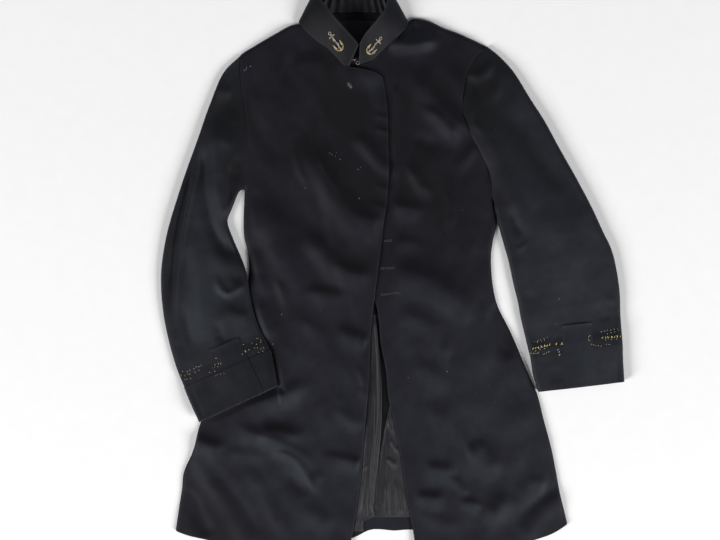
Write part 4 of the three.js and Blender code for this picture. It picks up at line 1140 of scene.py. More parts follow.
def cuff(side):
    ring = whole_ring(side, CUFF_SECTION[side], len(ARM[side]) - 1, STEP["cuff"])
    facing = 1 if volume_sign(ring) > 0 else -1
    grid = moved_out(ring, facing * (CUFF_GAP + CUFF_WALL), closed=True)
    x, y = grid[..., 0], grid[..., 1]
    grid[..., 2] += 0.25 * rumple(x, y, 30, 51) * (grid[..., 2] > CUFF_TOP_SIDE)
    seam = cuff_seams(side, x, y)
    grid[..., 2] += np.where(grid[..., 2] > CUFF_TOP_SIDE, seam, 0)
    worn = np.maximum(wear_by_edges(grid, low=0, high=0.25, closed=True), 0.3 * seam)
    fade_and_painted_light = fade_and_painted_light_at(x, y) + CUFF_FADING[side] + 0.35 * rumple(x, y, 26, 53)
    return sew(f"{side}_cuff", grid, CUFF_WALL, closed=True, worn=worn, fade_and_painted_light=fade_and_painted_light)


def cuff_seams(side, x, y):
    total = np.zeros(x.shape)
    for line, high in CUFF_SEAMS[side]:
        total += high * np.exp(-((nearest_on(smooth_line(line), x, y)[0] / 1.5) ** 2))
    return total


def volume_sign(ring):
    """Above 0 where a ring's own normals point out of it."""
    middle = ring.mean(axis=1, keepdims=True)
    return np.einsum("ijk,ijk->", normals_of(ring, closed=True), ring - middle)


# ---- laying things on the cloth ----


def surface_of(*pieces):
    trees = []
    for piece in pieces:
        mesh = piece.data
        trees.append(BVHTree.FromPolygons([v.co[:] for v in mesh.vertices],
                                          [p.vertices[:] for p in mesh.polygons]))
    return trees


DROP_FROM = 120


def drop(trees, x, y):
    """Where a point let down onto some pieces comes to rest, and the normal there, in mm."""
    best, normal = None, None
    for tree in trees:
        hit, facing, _, _ = tree.ray_cast(Vector((x, y, DROP_FROM)) * MM, Vector((0, 0, -1)))
        if hit is not None and (best is None or hit.z > best.z):
            best, normal = hit, facing
    if best is None:
        return np.array([x, y, 0.0]), np.array([0, 0, 1.0])
    return np.array(best) / MM, np.array(normal)


# How a slash panel's top edge stands up as a lip, and how its sides and foot are pressed down.
SLASH_LIP = {"high": 0.8, "reach": 4}
SLASH_SUNK = {"deep": 0.72, "sides": 15, "top": 6}


def slash(side, under):
    """The rectangular slash panel on a cuff."""
    top, foot = (np.array(SLASH[side][edge], float) for edge in ("top", "foot"))
    across = stations(np.linalg.norm(top[1] - top[0]), STEP["trim"])
    downward = stations(np.linalg.norm(foot[0] - top[0]), STEP["trim"])
    upper, lower = (mix(edge[0], edge[1], across[:, None]) for edge in (top, foot))
    plan = mix(upper[None], lower[None], downward[:, None, None])
    trees = surface_of(*under)
    heights = soften(np.array([[drop(trees, *point)[0][2] for point in row] for row in plan]))
    laid = lift(plan, heights)
    down = run_upward(laid)
    lip = SLASH_LIP["high"] * np.exp(-((down / SLASH_LIP["reach"]) ** 2))
    lip = lip * np.sin(math.pi * mix(0.04, 0.96, across))
    beside = np.minimum(run_across(laid), run_across(lift(plan[:, ::-1], heights))[:, ::-1])
    sides = SLASH_SUNK["sides"]
    sunk = SLASH_SUNK["deep"] * smooth((sides - beside) / sides) * smooth(down / SLASH_SUNK["top"])
    face = lift(plan, heights + CUFF_GAP + SLASH_WALL + lip - sunk)
    worn = wear_by_edges(face, low=0.1)
    fade_and_painted_light = fade_and_painted_light_at(plan[..., 0], plan[..., 1]) + CUFF_FADING[side]
    return sew(f"{side}_cuff_slash", face, SLASH_WALL, worn=worn, fade_and_painted_light=fade_and_painted_light)


def soften(heights):
    """Heights evened out a little, as a stiffened panel bridges small dips."""
    for _ in range(3):
        padded = np.pad(heights, 1, mode="edge")
        beside = padded[:-2, 1:-1] + padded[2:, 1:-1] + padded[1:-1, :-2] + padded[1:-1, 2:]
        heights = np.maximum(heights, 0.5 * heights + 0.125 * beside)
    return heights


# ---- collar ----

PER_BAND_ROW = 10


def seam_height(row):
    if row.lies == "back":
        return 0
    if row.lies == "fold":
        return FOLD_SEAM_HEIGHT
    side = "right" if row.seam_x < NECK_SHIELD["middle"] else "left"
    at = front_height(side, np.array([float(row.seam_x)]), np.array([row.seam_y - NECK_SEAM_INSET]))
    return at[0] + NECK_RISE


collar_seam = smooth_line([(row.seam_x, row.seam_y, seam_height(row)) for row in COLLAR], PER_BAND_ROW)
collar_top = smooth_line([(row.top_x, row.top_y, row.top_z) for row in COLLAR], PER_BAND_ROW)


def on_band(row, share):
    """A place on the band's outer face: a row of the collar's table and a share of its height."""
    fine = np.arange(len(collar_seam)) / PER_BAND_ROW
    row = np.asarray(row, float)
    low, high = read_at(row, fine, collar_seam), read_at(row, fine, collar_top)
    return mix(low, high, np.asarray(share)[..., None])


def band_normal(row, share):
    upward = on_band(row, share + 0.1) - on_band(row, share - 0.1)
    onward = on_band(row + 0.5, share) - on_band(row - 0.5, share)
    normal = np.cross(upward, onward)
    return normal / np.linalg.norm(normal)


# The band's flat height, how far it bulges between its edges, and its waves.
BAND = {"high": 46, "bulge": 1.3, "waves": 0.35}


def collar_band():
    rows = np.linspace(0, len(COLLAR) - 1, (len(COLLAR) - 1) * PER_BAND_ROW + 1)
    shares = stations(BAND["high"], STEP["trim"])
    grid = on_band(rows[None, :], np.repeat(shares[:, None], len(rows), axis=1))
    outward = -normals_of(grid)
    bulge = BAND["bulge"] * np.sin(math.pi * shares)[:, None] * free_of_floor(grid)
    waves = BAND["waves"] * rumple(grid[..., 0], grid[..., 1], 34, 61) * free_of_floor(grid)
    grid = grid + outward * (bulge + waves)[..., None]
    grid[..., 2] = np.maximum(grid[..., 2], 0)
    worn = wear_by_edges(grid, low=0.1, high=0.3, left=0.3, right=0.3, reach=2.0)
    # Painted shade: the band's right half is made darker, as if it lay in shade.
    kept = 0.7 * smooth((NECK_SHIELD["middle"] - grid[..., 0]) / 20)
    fade_and_painted_light = 0.2 - kept + 0.35 * rumple(grid[..., 0], grid[..., 1], 40, 62)
    return sew("collar_band", grid, -COLLAR_WALL, worn=worn, fade_and_painted_light=fade_and_painted_light)


def free_of_floor(grid):
    return smooth((grid[..., 2] - 2) / 8)


# Pleats of the collar lining: the row of the collar's table where each ridge lies, and its height.
PLEATS = [(8.5, 1.5), (8.82, 1.9), (9.16, 2.4), (9.5, 2.1), (9.84, 1.3), (10.2, 1.8), (10.52, 1.4),
          (10.8, 2.2), (11.06, 1.9), (11.34, 2.4), (11.58, 1.5)]
PLEAT_HALF = 0.1
# The rows of the collar's table and the shares of its height that its lining shows between.
LINED = {"rows": (8.3, 11.7), "shares": (0.08, 0.94)}


def collar_lining():
    rows = np.linspace(*LINED["rows"], 220)
    shares = np.linspace(*LINED["shares"], 22)
    pleats = sum(high * np.exp(-((rows - at) / PLEAT_HALF) ** 2) for at, high in PLEATS)
    fan = mix(1.15, 0.5, shares)[:, None]
    grid = on_band(rows[None, :], np.repeat(shares[:, None], len(rows), axis=1))
    wander = 0.35 * rumple(rows[None, :] * 40 + 0 * fan, shares[:, None] * BAND["high"] + 0 * rows, 17, 71)
    grid[..., 2] += COLLAR_WALL + GAP + LINING + fan * pleats[None, :] + wander
    return sew("collar_lining_satin", grid, LINING * 0.7)


# ---- small shapes, modelled once and laid out many times ----


def take_shape():
    """The points and faces of the active object, which is then removed."""
    bpy.ops.object.mode_set(mode="OBJECT")
    made = bpy.context.view_layer.objects.active
    points = np.array([v.co[:] for v in made.data.vertices])
    faces = [tuple(p.vertices) for p in made.data.polygons]
    bpy.data.objects.remove(made)
    return points, faces


def select_level(mesh, level):
    """Selects the vertices at one height of the mesh in edit mode."""
    bpy.ops.object.mode_set(mode="OBJECT")
    for vertex in mesh.vertices:
        vertex.select = abs(vertex.co.z - level) < 1e-3
    bpy.ops.object.mode_set(mode="EDIT")


def rod_shape(sides, rings, pinched, pinch, pushed=()):
    """A short rod along Z, cut at some rings, of which some are pinched and some pushed aside."""
    bpy.ops.object.select_all(action="DESELECT")
    bpy.ops.mesh.primitive_cylinder_add(vertices=sides, radius=1, depth=2, end_fill_type="TRIFAN")
    mesh = bpy.context.object.data
    bpy.ops.object.mode_set(mode="EDIT")
    for level in rings:
        bpy.ops.mesh.select_all(action="SELECT")
        bpy.ops.mesh.bisect(plane_co=(0, 0, level), plane_no=(0, 0, 1))
    for level in pinched:
        select_level(mesh, level)
        bpy.ops.transform.resize(value=(pinch, pinch, 1))
    for level in pushed:
        select_level(mesh, level)
        bpy.ops.transform.translate(value=(0.25, 0, 0))
    return take_shape()


def thread_shape():
    """A short length of thread, plump in the middle and bent a little."""
    bend = (-0.45, 0.45)
    return rod_shape(6, bend, (-1, 1), 0.55, pushed=bend)


def purl_shape():
    """A short length of bullion purl: a tight metal coil, seen as ridges."""
    rings = (-0.72, -0.44, -0.15, 0.15, 0.44, 0.72)
    return rod_shape(7, rings, (-1, *rings[1::2], 1), 0.74)


def lay_copies(name, shape, places):
    """One piece made of copies of a small shape. Each place gives the copy's two ends and its
    radius in millimetres, and the normal of what it lies on."""
    points, faces = shape
    all_points, all_faces = [], []
    for start, end, radius, normal in places:
        middle, half = (start + end) / 2, (end - start) / 2
        axis = half / max(np.linalg.norm(half), 1e-9)
        up = normal - axis * np.dot(normal, axis)
        up /= max(np.linalg.norm(up), 1e-9)
        across = np.cross(axis, up)
        frame_of = np.stack([up * radius, across * radius, half])
        all_faces += [tuple(index + len(points) * len(all_points) for index in face) for face in faces]
        all_points.append(middle + points @ frame_of)
    return add_piece(name, np.concatenate(all_points), all_faces)


def bit_on(trees, start, end, radius, sink=0.2):
    """The place of a thread that lies on the cloth from one point to another, in plan."""
    a, normal = drop(trees, *start)
    b, _ = drop(trees, *end)
    lift_by = normal * radius * (1 - sink)
    return a + lift_by, b + lift_by, radius, normal


# ---- what is left of the gold lace ----

# Rows of cut stitches above the cuffs: from one point to another in plan, how many bits, how
# long each is, how far it turns from the row, how unevenly they lie, and their colour.
LACE_COLUMNS = "x1 y1 x2 y2 bits long turn loose kind"
LACE = {
    "right": table("Lace", LACE_COLUMNS, [
        (-342, -169, -324, -166, 3, 1.2, 40, 1.4, "pale"),
        (-343, -175, -324, -172, 4, 1.3, 60, 1.5, "gold"),
        (-339, -181, -325, -179, 3, 1.2, 20, 1.4, "pale"),
        (-323, -163, -307, -157, 4, 1.2, 40, 0.6, "pale"),
        (-321, -168, -310, -166, 2, 1.2, 50, 1.2, "gold"),
        (-285, -146, -284, -146, 1, 1.6, 60, 0.1, "pale"),
        (-288, -157, -274, -153, 3, 1.2, 55, 0.9, "pale"),
        (-293, -163, -278, -160, 3, 1.2, 40, 1.4, "gold"),
        (-297, -170, -284, -167, 2, 1.2, 30, 1.2, "pale"),
        (-288, -174, -270, -168, 4, 1.2, -30, 1.4, "gold"),
        (-238, -136, -235, -135, 1, 2.0, 70, 0.3, "gold"),
        (-243, -140, -230, -130, 3, 1.3, 50, 1.2, "pale"),
        (-241, -124, -240, -124, 1, 1.5, 0, 0.2, "pale"),
        (-222, -112, -210, -117, 3, 1.3, 40, 0.9, "gold"),
        (-228, -123, -210, -121, 3, 1.2, 30, 1.5, "pale"),
        (-225, -130, -205, -129, 4, 1.2, 70, 1.4, "gold"),
        (-218, -137, -206, -133, 2, 1.2, 20, 0.9, "pale"),
    ]),
    "left": table("Lace", LACE_COLUMNS, [
        (228, -119, 254, -112, 5, 1.3, 15, 0.7, "gold"),
        (233, -121, 250, -116, 3, 1.2, 50, 0.5, "pale"),
        (226, -131, 258, -123, 7, 4.2, 68, 0.4, "gold"),
        (233, -130, 252, -125, 3, 4.4, -60, 0.4, "gold"),
        (229, -135, 250, -129, 3, 1.4, 60, 0.5, "pale"),
        (264, -123, 268, -122, 1, 4.4, 0, 0, "gold"),
        (264, -123, 268, -122, 1, 4.2, 90, 0, "gold"),
        (272, -123, 277, -122, 1, 4.4, 55, 0, "gold"),
        (273, -123, 278, -122, 1, 3.6, -50, 0, "pale"),
        (224, -139, 238, -137, 4, 1.5, 40, 0.6, "gold"),
        (244, -140, 256, -135, 3, 1.7, 35, 0.4, "pale"),
        (268, -131, 272, -142, 3, 2.7, -70, 0.6, "pale"),
        (317, -112, 321, -108, 2, 1.5, 10, 0.3, "pale"),
        (317, -114, 319, -119, 2, 1.5, -40, 0.4, "gold"),
        (336, -104, 368, -98, 6, 1.3, 14, 0.6, "pale"),
        (346, -107, 370, -101, 4, 1.3, 14, 0.4, "gold"),
        (338, -113, 373, -110, 7, 4.0, 68, 0.4, "gold"),
        (345, -113, 368, -110, 3, 4.2, -60, 0.4, "gold"),
        (342, -117, 368, -114, 3, 1.3, 40, 0.4, "pale"),
        (320, -123, 340, -127, 5, 1.4, 25, 0.4, "gold"),
        (344, -123, 354, -124, 2, 1.4, 20, 0.3, "pale"),
    ]),
}


def lace_remnants(side, under, shape):
    rng = np.random.default_rng(91 if side == "right" else 92)
    trees = surface_of(*under)
    places = {"gold": [], "pale": []}
    for row in LACE[side]:
        row_turn = math.atan2(row.y2 - row.y1, row.x2 - row.x1)
        for k in range(row.bits):
            share = (k + 0.5) / row.bits
            middle = np.array([mix(row.x1, row.x2, share), mix(row.y1, row.y2, share)])
            middle += rng.uniform(-1, 1, 2) * row.loose
            turn = row_turn + math.radians(row.turn + rng.uniform(-25, 25))
            half = heading(turn) * row.long * rng.uniform(0.4, 0.6)
            radius = rng.uniform(0.34, 0.5)
            places[row.kind].append(bit_on(trees, middle - half, middle + half, radius))
    return {kind: lay_copies(f"{side}_{kind}_lace_threads", shape, found)
            for kind, found in places.items()}


# ---- buttonholes and stray threads ----

# Worked buttonholes on the left front, from their inner to their outer end.
BUTTONHOLES = [((-13, 44), (0, 44.5)), ((-20, -1), (4.5, 0.5)), ((-18, -43.5), (13.5, -40))]
STITCH = {"apart": 0.62, "near": 0.7, "far": 1.7}
KNOT = {"apart": 1.5, "aside": 0.8, "long": 1.6}
# Stray white threads and lint: where, how long and which way.
STRAY = table("Stray", "x y long turn", [
    (-237, 323, 1.9, 40), (-240, 321, 1.4, 120), (-230, 328, 1.8, 20), (-236, 326, 1.2, 80),
    (-69, 297, 3.2, 70), (-68, 294, 3.0, 130), (-70, 300, 2.2, 20), (-66, 297, 2.0, 0),
    (-71, 296, 2.2, 110), (-67, 292, 2.2, 75), (-72, 299, 1.8, 60), (-65, 294, 1.8, 45),
    (-101, 186, 1.2, 20), (-97, 184, 1.0, 80), (-92, 181, 1.4, 30), (-84, 176, 1.2, 10),
    (-90, 187, 1.0, 0), (-55, 160, 2.4, 8), (-51, 163, 1.2, 60), (-53, 113, 1.6, 20),
    (-140, 130, 1.0, 0), (271, -50, 1.4, 30), (265, -91, 1.2, 0), (-179, -75, 1.5, 15),
    (-193, -123, 1.6, 70), (27, -178, 1.0, 30), (90, -168, 1.2, 10),
])


def buttonholes(under, shape):
    """Two lips of purl stitches along each slit, with a bar across its outer end."""
    trees = surface_of(under)
    rng = np.random.default_rng(95)
    places = []
    for start, end in BUTTONHOLES:
        start, end = np.array(start, float), np.array(end, float)
        length = np.linalg.norm(end - start)
        run = (end - start) / length
        aside = np.array([-run[1], run[0]])
        for lip in (-1, 1):
            for k in range(int(length / STITCH["apart"])):
                foot = start + run * (k + 0.5) * STITCH["apart"]
                far = STITCH["far"] + rng.uniform(-0.2, 0.15)
                places.append(bit_on(trees, foot + aside * lip * STITCH["near"],
                                     foot + aside * lip * far, 0.27, 0.3))
            for share in np.linspace(0, 1, int(length / KNOT["apart"]), endpoint=False):
                knot = start + run * length * share + aside * lip * KNOT["aside"]
                places.append(bit_on(trees, knot, knot + run * KNOT["long"], 0.28))
        for reach in (-KNOT["long"], 0):
            places.append(bit_on(trees, end + aside * reach, end + aside * (reach + KNOT["long"]), 0.3))
    return lay_copies("buttonhole_silk", shape, places)


def stray_threads(under, shape):
    trees = surface_of(*under)
    places = []
    for bit in STRAY:
        half = heading(math.radians(bit.turn)) * bit.long / 2
        places.append(bit_on(trees, (bit.x, bit.y) - half, (bit.x, bit.y) + half, 0.34, 0))
    return lay_copies("stray_threads", shape, places)


# ---- embroidered anchors ----


def purls_along(line, wide, spacing, lean, high):
    """Purls laid side by side across a padded line in the anchor's own plane."""
    length = length_of(line)
    count = max(round(length / spacing), 2)
    shares = (np.arange(count) + 0.5) / count
    found = []
    for share in shares:
        middle = along(line, share)
        ahead = along(line, min(share + 0.02, 1)) - along(line, max(share - 0.02, 0))
        turn = math.atan2(ahead[1], ahead[0]) + math.pi / 2 + lean
        reach = wide(share) if callable(wide) else wide
        half = heading(turn) * reach / 2
        found.append((middle - half, middle + half, spacing * 0.58, high))
    return found


def anchor_purls(length):
    """The purls of an anchor along +X from its ring to its crown: its stock, arms, flukes and
    knobs in gold, its ring, shank and cable in silver."""
    ring, loop = ANCHOR["ring"], ANCHOR["loop"]
    reach = ANCHOR["span"] / 2
    arm_radius = reach + ring
    bow = arm_radius - 1.2
    sweep = np.linspace(-1.2, 1.2, 40)
    slim = ANCHOR["slim"]
    turns = np.linspace(0, 2 * math.pi, 40)
    wave = np.linspace(0, 1, 60)
    stock_x, stock_end = 3 * ring, slim * ANCHOR["span"] * ANCHOR["stock"]
    knob_end = slim * ANCHOR["span"] * ANCHOR["knob"]

    def line(x, y):
        return np.stack(np.broadcast_arrays(x, y), axis=-1).astype(float)

    loop_line = line(ring + loop * np.cos(turns), loop * np.sin(turns))
    shank = line([2 * ring - 0.6, length - 1.4], 0)
    stock = line(stock_x, [-stock_end, stock_end])
    arms = line(length - arm_radius + bow * np.cos(sweep), slim * bow * np.sin(sweep))
    cable = line(mix(ring + 1, length - 4.5, wave), 2.0 * np.sin(wave * 3.3 * math.pi + 0.5))
    strokes = [
        ("silver", loop_line, 1.5, 0.85, 0.5, 0.1),
        ("silver", shank, 2.4, 0.8, 0.45, 0.5),
        ("silver", cable, 1.2, 0.8, -0.9, 1.3),
        ("gold", stock, lambda share: 2.6 - 1.4 * abs(share - 0.5), 0.8, 0.3, 0.9),
        ("gold", arms, lambda share: 3.0 - 1.6 * abs(2 * share - 1), 0.85, 0.35, 0.6),
    ]
    for hand in (-1, 1):
        aside = hand * slim * reach
        fluke = line([length - 2.1 * reach, length - 0.95 * reach], [aside * 1.12, aside * 1.02])
        knob = line([stock_x - 0.8, stock_x + 0.8], hand * knob_end)
        strokes.append(("gold", fluke, lambda share: 0.9 + 4.2 * share, 0.8, 0.2 * hand, 1.0))
        strokes.append(("gold", knob, 1.8, 0.9, 0.0, 1.0))
    purls = {"gold": [], "silver": []}
    for metal, *stroke in strokes:
        purls[metal] += purls_along(*stroke)
    return purls


def anchor(side, collar, shape):
    place = ANCHOR_PLACE[side]
    ring, crown = on_band(*place["ring"]), on_band(*place["crown"])
    normal = band_normal(*place["ring"]) + band_normal(*place["crown"])
    length = np.linalg.norm(crown - ring)
    run = (crown - ring) / length
    across = np.cross(normal, run)
    across /= np.linalg.norm(across)
    up = np.cross(run, across)
    tree = surface_of(collar)[0]

    def settle(point, high):
        start = ring + run * point[0] + across * point[1] + up * 8
        hit = tree.ray_cast(Vector(start) * MM, Vector(-up))[0]
        on_cloth = np.array(hit) / MM if hit is not None else start - up * 8
        return on_cloth + up * (ANCHOR["padding"] + high)

    made = {}
    for metal, purls in anchor_purls(length).items():
        places = [(settle(a, high), settle(b, high), radius, up) for a, b, radius, high in purls]
        made[metal] = lay_copies(f"{side}_anchor_{metal}", shape, places)
    return made


# ---- hook and eye ----


def bent_wire(name, points):
    """A round wire through points, as a mesh with closed ends."""
    curve = bpy.data.curves.new(name, "CURVE")
    curve.dimensions = "3D"
    curve.bevel_depth = WIRE * MM
    curve.bevel_resolution = 3
    curve.use_fill_caps = True
    spline = curve.splines.new("POLY")
    spline.points.add(len(points) - 1)
    for point, place in zip(spline.points, points):
        point.co = (*(np.array(place) * MM), 1)
    wire = bpy.data.objects.new(name, curve)
    bpy.context.scene.collection.objects.link(wire)
    bpy.ops.object.select_all(action="DESELECT")
    wire.select_set(True)
    bpy.context.view_layer.objects.active = wire
    bpy.ops.object.convert(target="MESH")
    bpy.ops.object.shade_smooth()
    return bpy.context.view_layer.objects.active


def eye():
    """A loop of wire with a small sewn foot before it."""
    x, y, z, radius = EYE["x"], EYE["y"], EYE["z"], EYE["radius"]
    foot = 0.95
    foot_x, foot_y = x + radius * 0.62, y - radius * 0.4 - foot
    line = [(foot_x + foot * math.sin(turn), foot_y + foot * math.cos(turn), z)
            for turn in np.linspace(0, 2 * math.pi, 14)]
    line += [(x - radius * math.cos(turn), y + radius * math.sin(turn), z + 0.35)
             for turn in np.linspace(-0.55 * math.pi, 1.05 * math.pi, 26)]
    return bent_wire("eye_wire", line)


def hook():
    """A doubled wire whose end bends back over itself."""
    path = smooth_line(HOOK_PATH, 6)
    back = path + np.array([0, -1.3, 0.1])
    end = path[-1]
    bend = smooth_line([end, end + (0.5, -0.4, 0.6), end + (0.2, -1.3, 0.5)], 5)
    return bent_wire("hook_wire", [*path, *bend[1:-1], *back[::-1][1:]])


# ---- finishes ----


class Wired:
    """A node's output, which adds, subtracts and multiplies as a number does."""

    def __init__(self, socket):
        self.socket = socket
        self.tree = socket.id_data

    def __add__(self, other):
        return self.math("ADD", other)

    def __sub__(self, other):
        return self.math("SUBTRACT", other)

    def __mul__(self, other):
        return self.math("MULTIPLY", other)

    def math(self, operation, other):
        made = self.tree.nodes.new("ShaderNodeMath")
        made.operation = operation
        feed(made.inputs[0], self)
        feed(made.inputs[1], other)
        return Wired(made.outputs[0])

    def clamped(self):
        """The same result of a sum, kept between 0 and 1."""
        self.socket.node.use_clamp = True
        return self


def feed(socket, value):
    """Links an input to a node's output, or sets it to a value."""
    if isinstance(value, Wired):
        value.tree.links.new(value.socket, socket)
    else:
        socket.default_value = value


def put(tree, kind, inputs, **settings):
    """A new node's outputs by name. Its inputs are set to values or linked to outputs."""
    made = tree.nodes.new(kind)
    for name, value in settings.items():
        setattr(made, name, value)
    for name, value in inputs.items():
        feed(made.inputs[name], value)
    return {socket.name: Wired(socket) for socket in made.outputs}


def mix_colours(share, a, b):
    made = share.tree.nodes.new("ShaderNodeMix")
    made.data_type = "RGBA"
    feed(made.inputs[0], share)
    colours = [socket for socket in made.inputs if socket.type == "RGBA"]
    for socket, value in zip(colours, (a, b)):
        feed(socket, value)
    return Wired(next(socket for socket in made.outputs if socket.type == "RGBA"))


def mapped(vector, scale):
    """A vector with its axes scaled."""
    return put(vector.tree, "ShaderNodeMapping", {"Vector": vector, "Scale": scale})["Vector"]


def noise(vector, scale, detail, rough):
    return put(vector.tree, "ShaderNodeTexNoise",
               {"Vector": vector, "Scale": scale, "Detail": detail, "Roughness": rough})["Fac"]


def group(name, inputs, outputs):
    """An empty shader node group, with inputs of some kinds and outputs that are numbers."""
    tree = bpy.data.node_groups.new(name, "ShaderNodeTree")
    for label, kind in inputs.items():
        tree.interface.new_socket(label, in_out="INPUT", socket_type=kind)
    for label in outputs:
        tree.interface.new_socket(label, in_out="OUTPUT", socket_type="NodeSocketFloat")
    given = [Wired(socket) for socket in tree.nodes.new("NodeGroupInput").outputs if socket.name]
    return tree, given, tree.nodes.new("NodeGroupOutput").inputs


def nap_group():
    """The felted face of milled wool: fine fibres brushed down the cloth, over a hidden twill."""
    tree, (cloth,), out = group("nap", {"Cloth": "NodeSocketVector"}, ["Height", "Fibre"])
    fibres = noise(mapped(cloth, (1.0, 0.34, 1.0)), 1500, 3, 0.65)
    felt = noise(cloth, 420, 4, 0.6)
    twill = put(tree, "ShaderNodeTexWave", {
        "Vector": mapped(cloth, (1.0, 0.9, 1.0)), "Scale": 620.0, "Distortion": 1.5,
        "Detail": 2.0, "Detail Scale": 2.0}, bands_direction="DIAGONAL")["Fac"]
    feed(out["Height"], fibres * 0.5 + felt * 0.4 + twill * 0.12)
    feed(out["Fibre"], fibres * 0.5 + felt * 0.5)
    return tree


LINT_SPOTS = {"scale": 95.0, "size": 0.055, "bare_share": 0.975}


def wear_group():
    """Turns the cloth's marks and its painted shade into masks: rubbed edges broken up by the fibres,
    how far the colour has gone together with painted shade and painted highlight, with small patches of its
    own, where lint lies, and where painted deep shade turns it near black."""
    tree, (place, fibre), out = group("wear", {"Place": "NodeSocketVector", "Fibre": "NodeSocketFloat"},
                                      ["Rubbed", "Fade And Painted Light", "Lint", "Inside"])
    worn, fade_and_painted_light = (put(tree, "ShaderNodeAttribute", {}, attribute_name=name)["Fac"]
                   for name in ("worn", "fade_and_painted_light"))
    broken = noise(place, 150, 4, 0.6) + 0.25
    feed(out["Rubbed"], (worn * broken * (fibre + 0.5)).clamped())
    broad, small = noise(place, 16, 3, 0.55) - 0.5, noise(place, 62, 4, 0.6) - 0.5
    patches = broad * 0.7 + small * 0.5 + (fibre - 0.5) * 0.55
    feed(out["Fade And Painted Light"], ((fade_and_painted_light + 1.0) * 0.5 + patches).clamped())
    # Painted deep shade where the fading numbers fall below -1.5.
    feed(out["Inside"], ((fade_and_painted_light + 1.5) * -1.6).clamped())
    spots = put(tree, "ShaderNodeTexVoronoi", {"Vector": place, "Scale": LINT_SPOTS["scale"]}, feature="F1")
    near = spots["Distance"].math("LESS_THAN", LINT_SPOTS["size"])
    chance = put(tree, "ShaderNodeSeparateColor", {"Color": spots["Color"]})["Red"]
    feed(out["Lint"], near * chance.math("GREATER_THAN", LINT_SPOTS["bare_share"]))
    return tree


def strand_group():
    """Fine fibres along a strand, and the larger spots where it has tarnished."""
    tree, (place,), out = group("strands", {"Place": "NodeSocketVector"}, ["Height", "Tarnish"])
    feed(out["Height"], noise(place, 2200, 2, 0.5))
    feed(out["Tarnish"], noise(place, 260, 3, 0.6))
    return tree


NAP = nap_group()
WEAR = wear_group()
STRANDS = strand_group()


def use(node_group, inputs):
    """Outputs of a shared effect, in the tree that its inputs come from."""
    tree = next(value.tree for value in inputs.values() if isinstance(value, Wired))
    return put(tree, "ShaderNodeGroup", inputs, node_tree=node_group)


def new_finish(name, constants):
    """A material, its shader's inputs and the place that its patterns are read at."""
    material = bpy.data.materials.new(name)
    material.use_nodes = True
    tree = material.node_tree
    shader = tree.nodes["Principled BSDF"].inputs
    for label, value in constants.items():
        shader[label].default_value = value
    place = put(tree, "ShaderNodeTexCoord", {})["Object"]
    return material, shader, place


def on_cloth(place):
    """Metres along the cloth, from its UV map."""
    return put(place.tree, "ShaderNodeUVMap", {}, uv_map="cloth")["UV"]


def colour_and_bump(shader, colour, height, strength, distance):
    """Links a finish's colour, and a bump worked out from a height."""
    feed(shader["Base Color"], colour)
    sizes = {"Height": height, "Strength": strength, "Distance": distance}
    feed(shader["Normal"], put(height.tree, "ShaderNodeBump", sizes)["Normal"])


# Painted deep shade: near black, mixed in where the cloth lies deep in shadow, in the slit and in the darkest
# patches.
PAINTED_DEEP_SHADE = (0.0012, 0.0012, 0.0015, 1)
LINT_COLOUR = (0.075, 0.075, 0.072, 1)


def broadcloth(name, kept, middle, fade_and_painted_light, rubbed, sheen=0.2):
    """Milled wool: the colour where it is kept, on most of the cloth, where it has gone pale and
    where it is rubbed. The mix of the first three also carries painted shade and painted highlight, and the
    deepest painted shade is mixed in near black."""
    material, shader, place = new_finish(name, {
        "Specular IOR Level": 0.14, "Sheen Weight": sheen, "Sheen Roughness": 0.45,
        "Sheen Tint": (0.6, 0.72, 0.9, 1)})
    nap = use(NAP, {"Cloth": on_cloth(place)})
    wear = use(WEAR, {"Place": place, "Fibre": nap["Fibre"]})
    colour = mix_colours((wear["Fade And Painted Light"] * 2.0).clamped(), kept, middle)
    colour = mix_colours((wear["Fade And Painted Light"] * 2.0 - 1.0).clamped(), colour, fade_and_painted_light)
    for mark, marked in (("Rubbed", rubbed), ("Inside", PAINTED_DEEP_SHADE), ("Lint", LINT_COLOUR)):
        colour = mix_colours(wear[mark], colour, marked)
    feed(shader["Roughness"], nap["Fibre"] * 0.16 + 0.52)
    colour_and_bump(shader, colour, nap["Height"], 0.5, 0.0005)
    return material


def satin(name, kept, worn_colour, roughness):
    """Worn cotton satin: smooth floats along the cloth, scuffed paler on the folds."""
    material, shader, place = new_finish(name, {
        "Specular IOR Level": 0.32, "Sheen Weight": 0.1, "Sheen Roughness": 0.4, "Anisotropic": 0.4})
    cloth = on_cloth(place)
    floats = noise(mapped(cloth, (1.0, 0.06, 1.0)), 1400, 2, 0.5)
    scuffs = noise(mapped(cloth, (1.0, 0.35, 1.0)), 90, 4, 0.62)
    feed(shader["Roughness"], scuffs * 0.22 + (roughness - 0.08))
    colour_and_bump(shader, mix_colours(scuffs, kept, worn_colour), floats + scuffs, 0.25, 0.0003)
    return material


def metal_thread(name, bright, tarnished, metallic, roughness):
    """Drawn metal thread or wire, tarnished in spots."""
    material, shader, place = new_finish(name, {"Metallic": metallic})
    strands = use(STRANDS, {"Place": place})
    patchy = ((strands["Tarnish"] - 0.32) * 2.6).clamped()
    feed(shader["Roughness"], patchy * 0.3 + roughness)
    colour_and_bump(shader, mix_colours(patchy, bright, tarnished), strands["Height"], 0.4, 0.0001)
    return material


def spun_thread(name, light, dark):
    """Matt twisted thread in two close shades."""
    material, shader, place = new_finish(name, {"Roughness": 0.6, "Sheen Weight": 0.3})
    strands = use(STRANDS, {"Place": place})
    colour_and_bump(shader, mix_colours(strands["Tarnish"], light, dark), strands["Height"], 0.3, 0.0001)
    return material


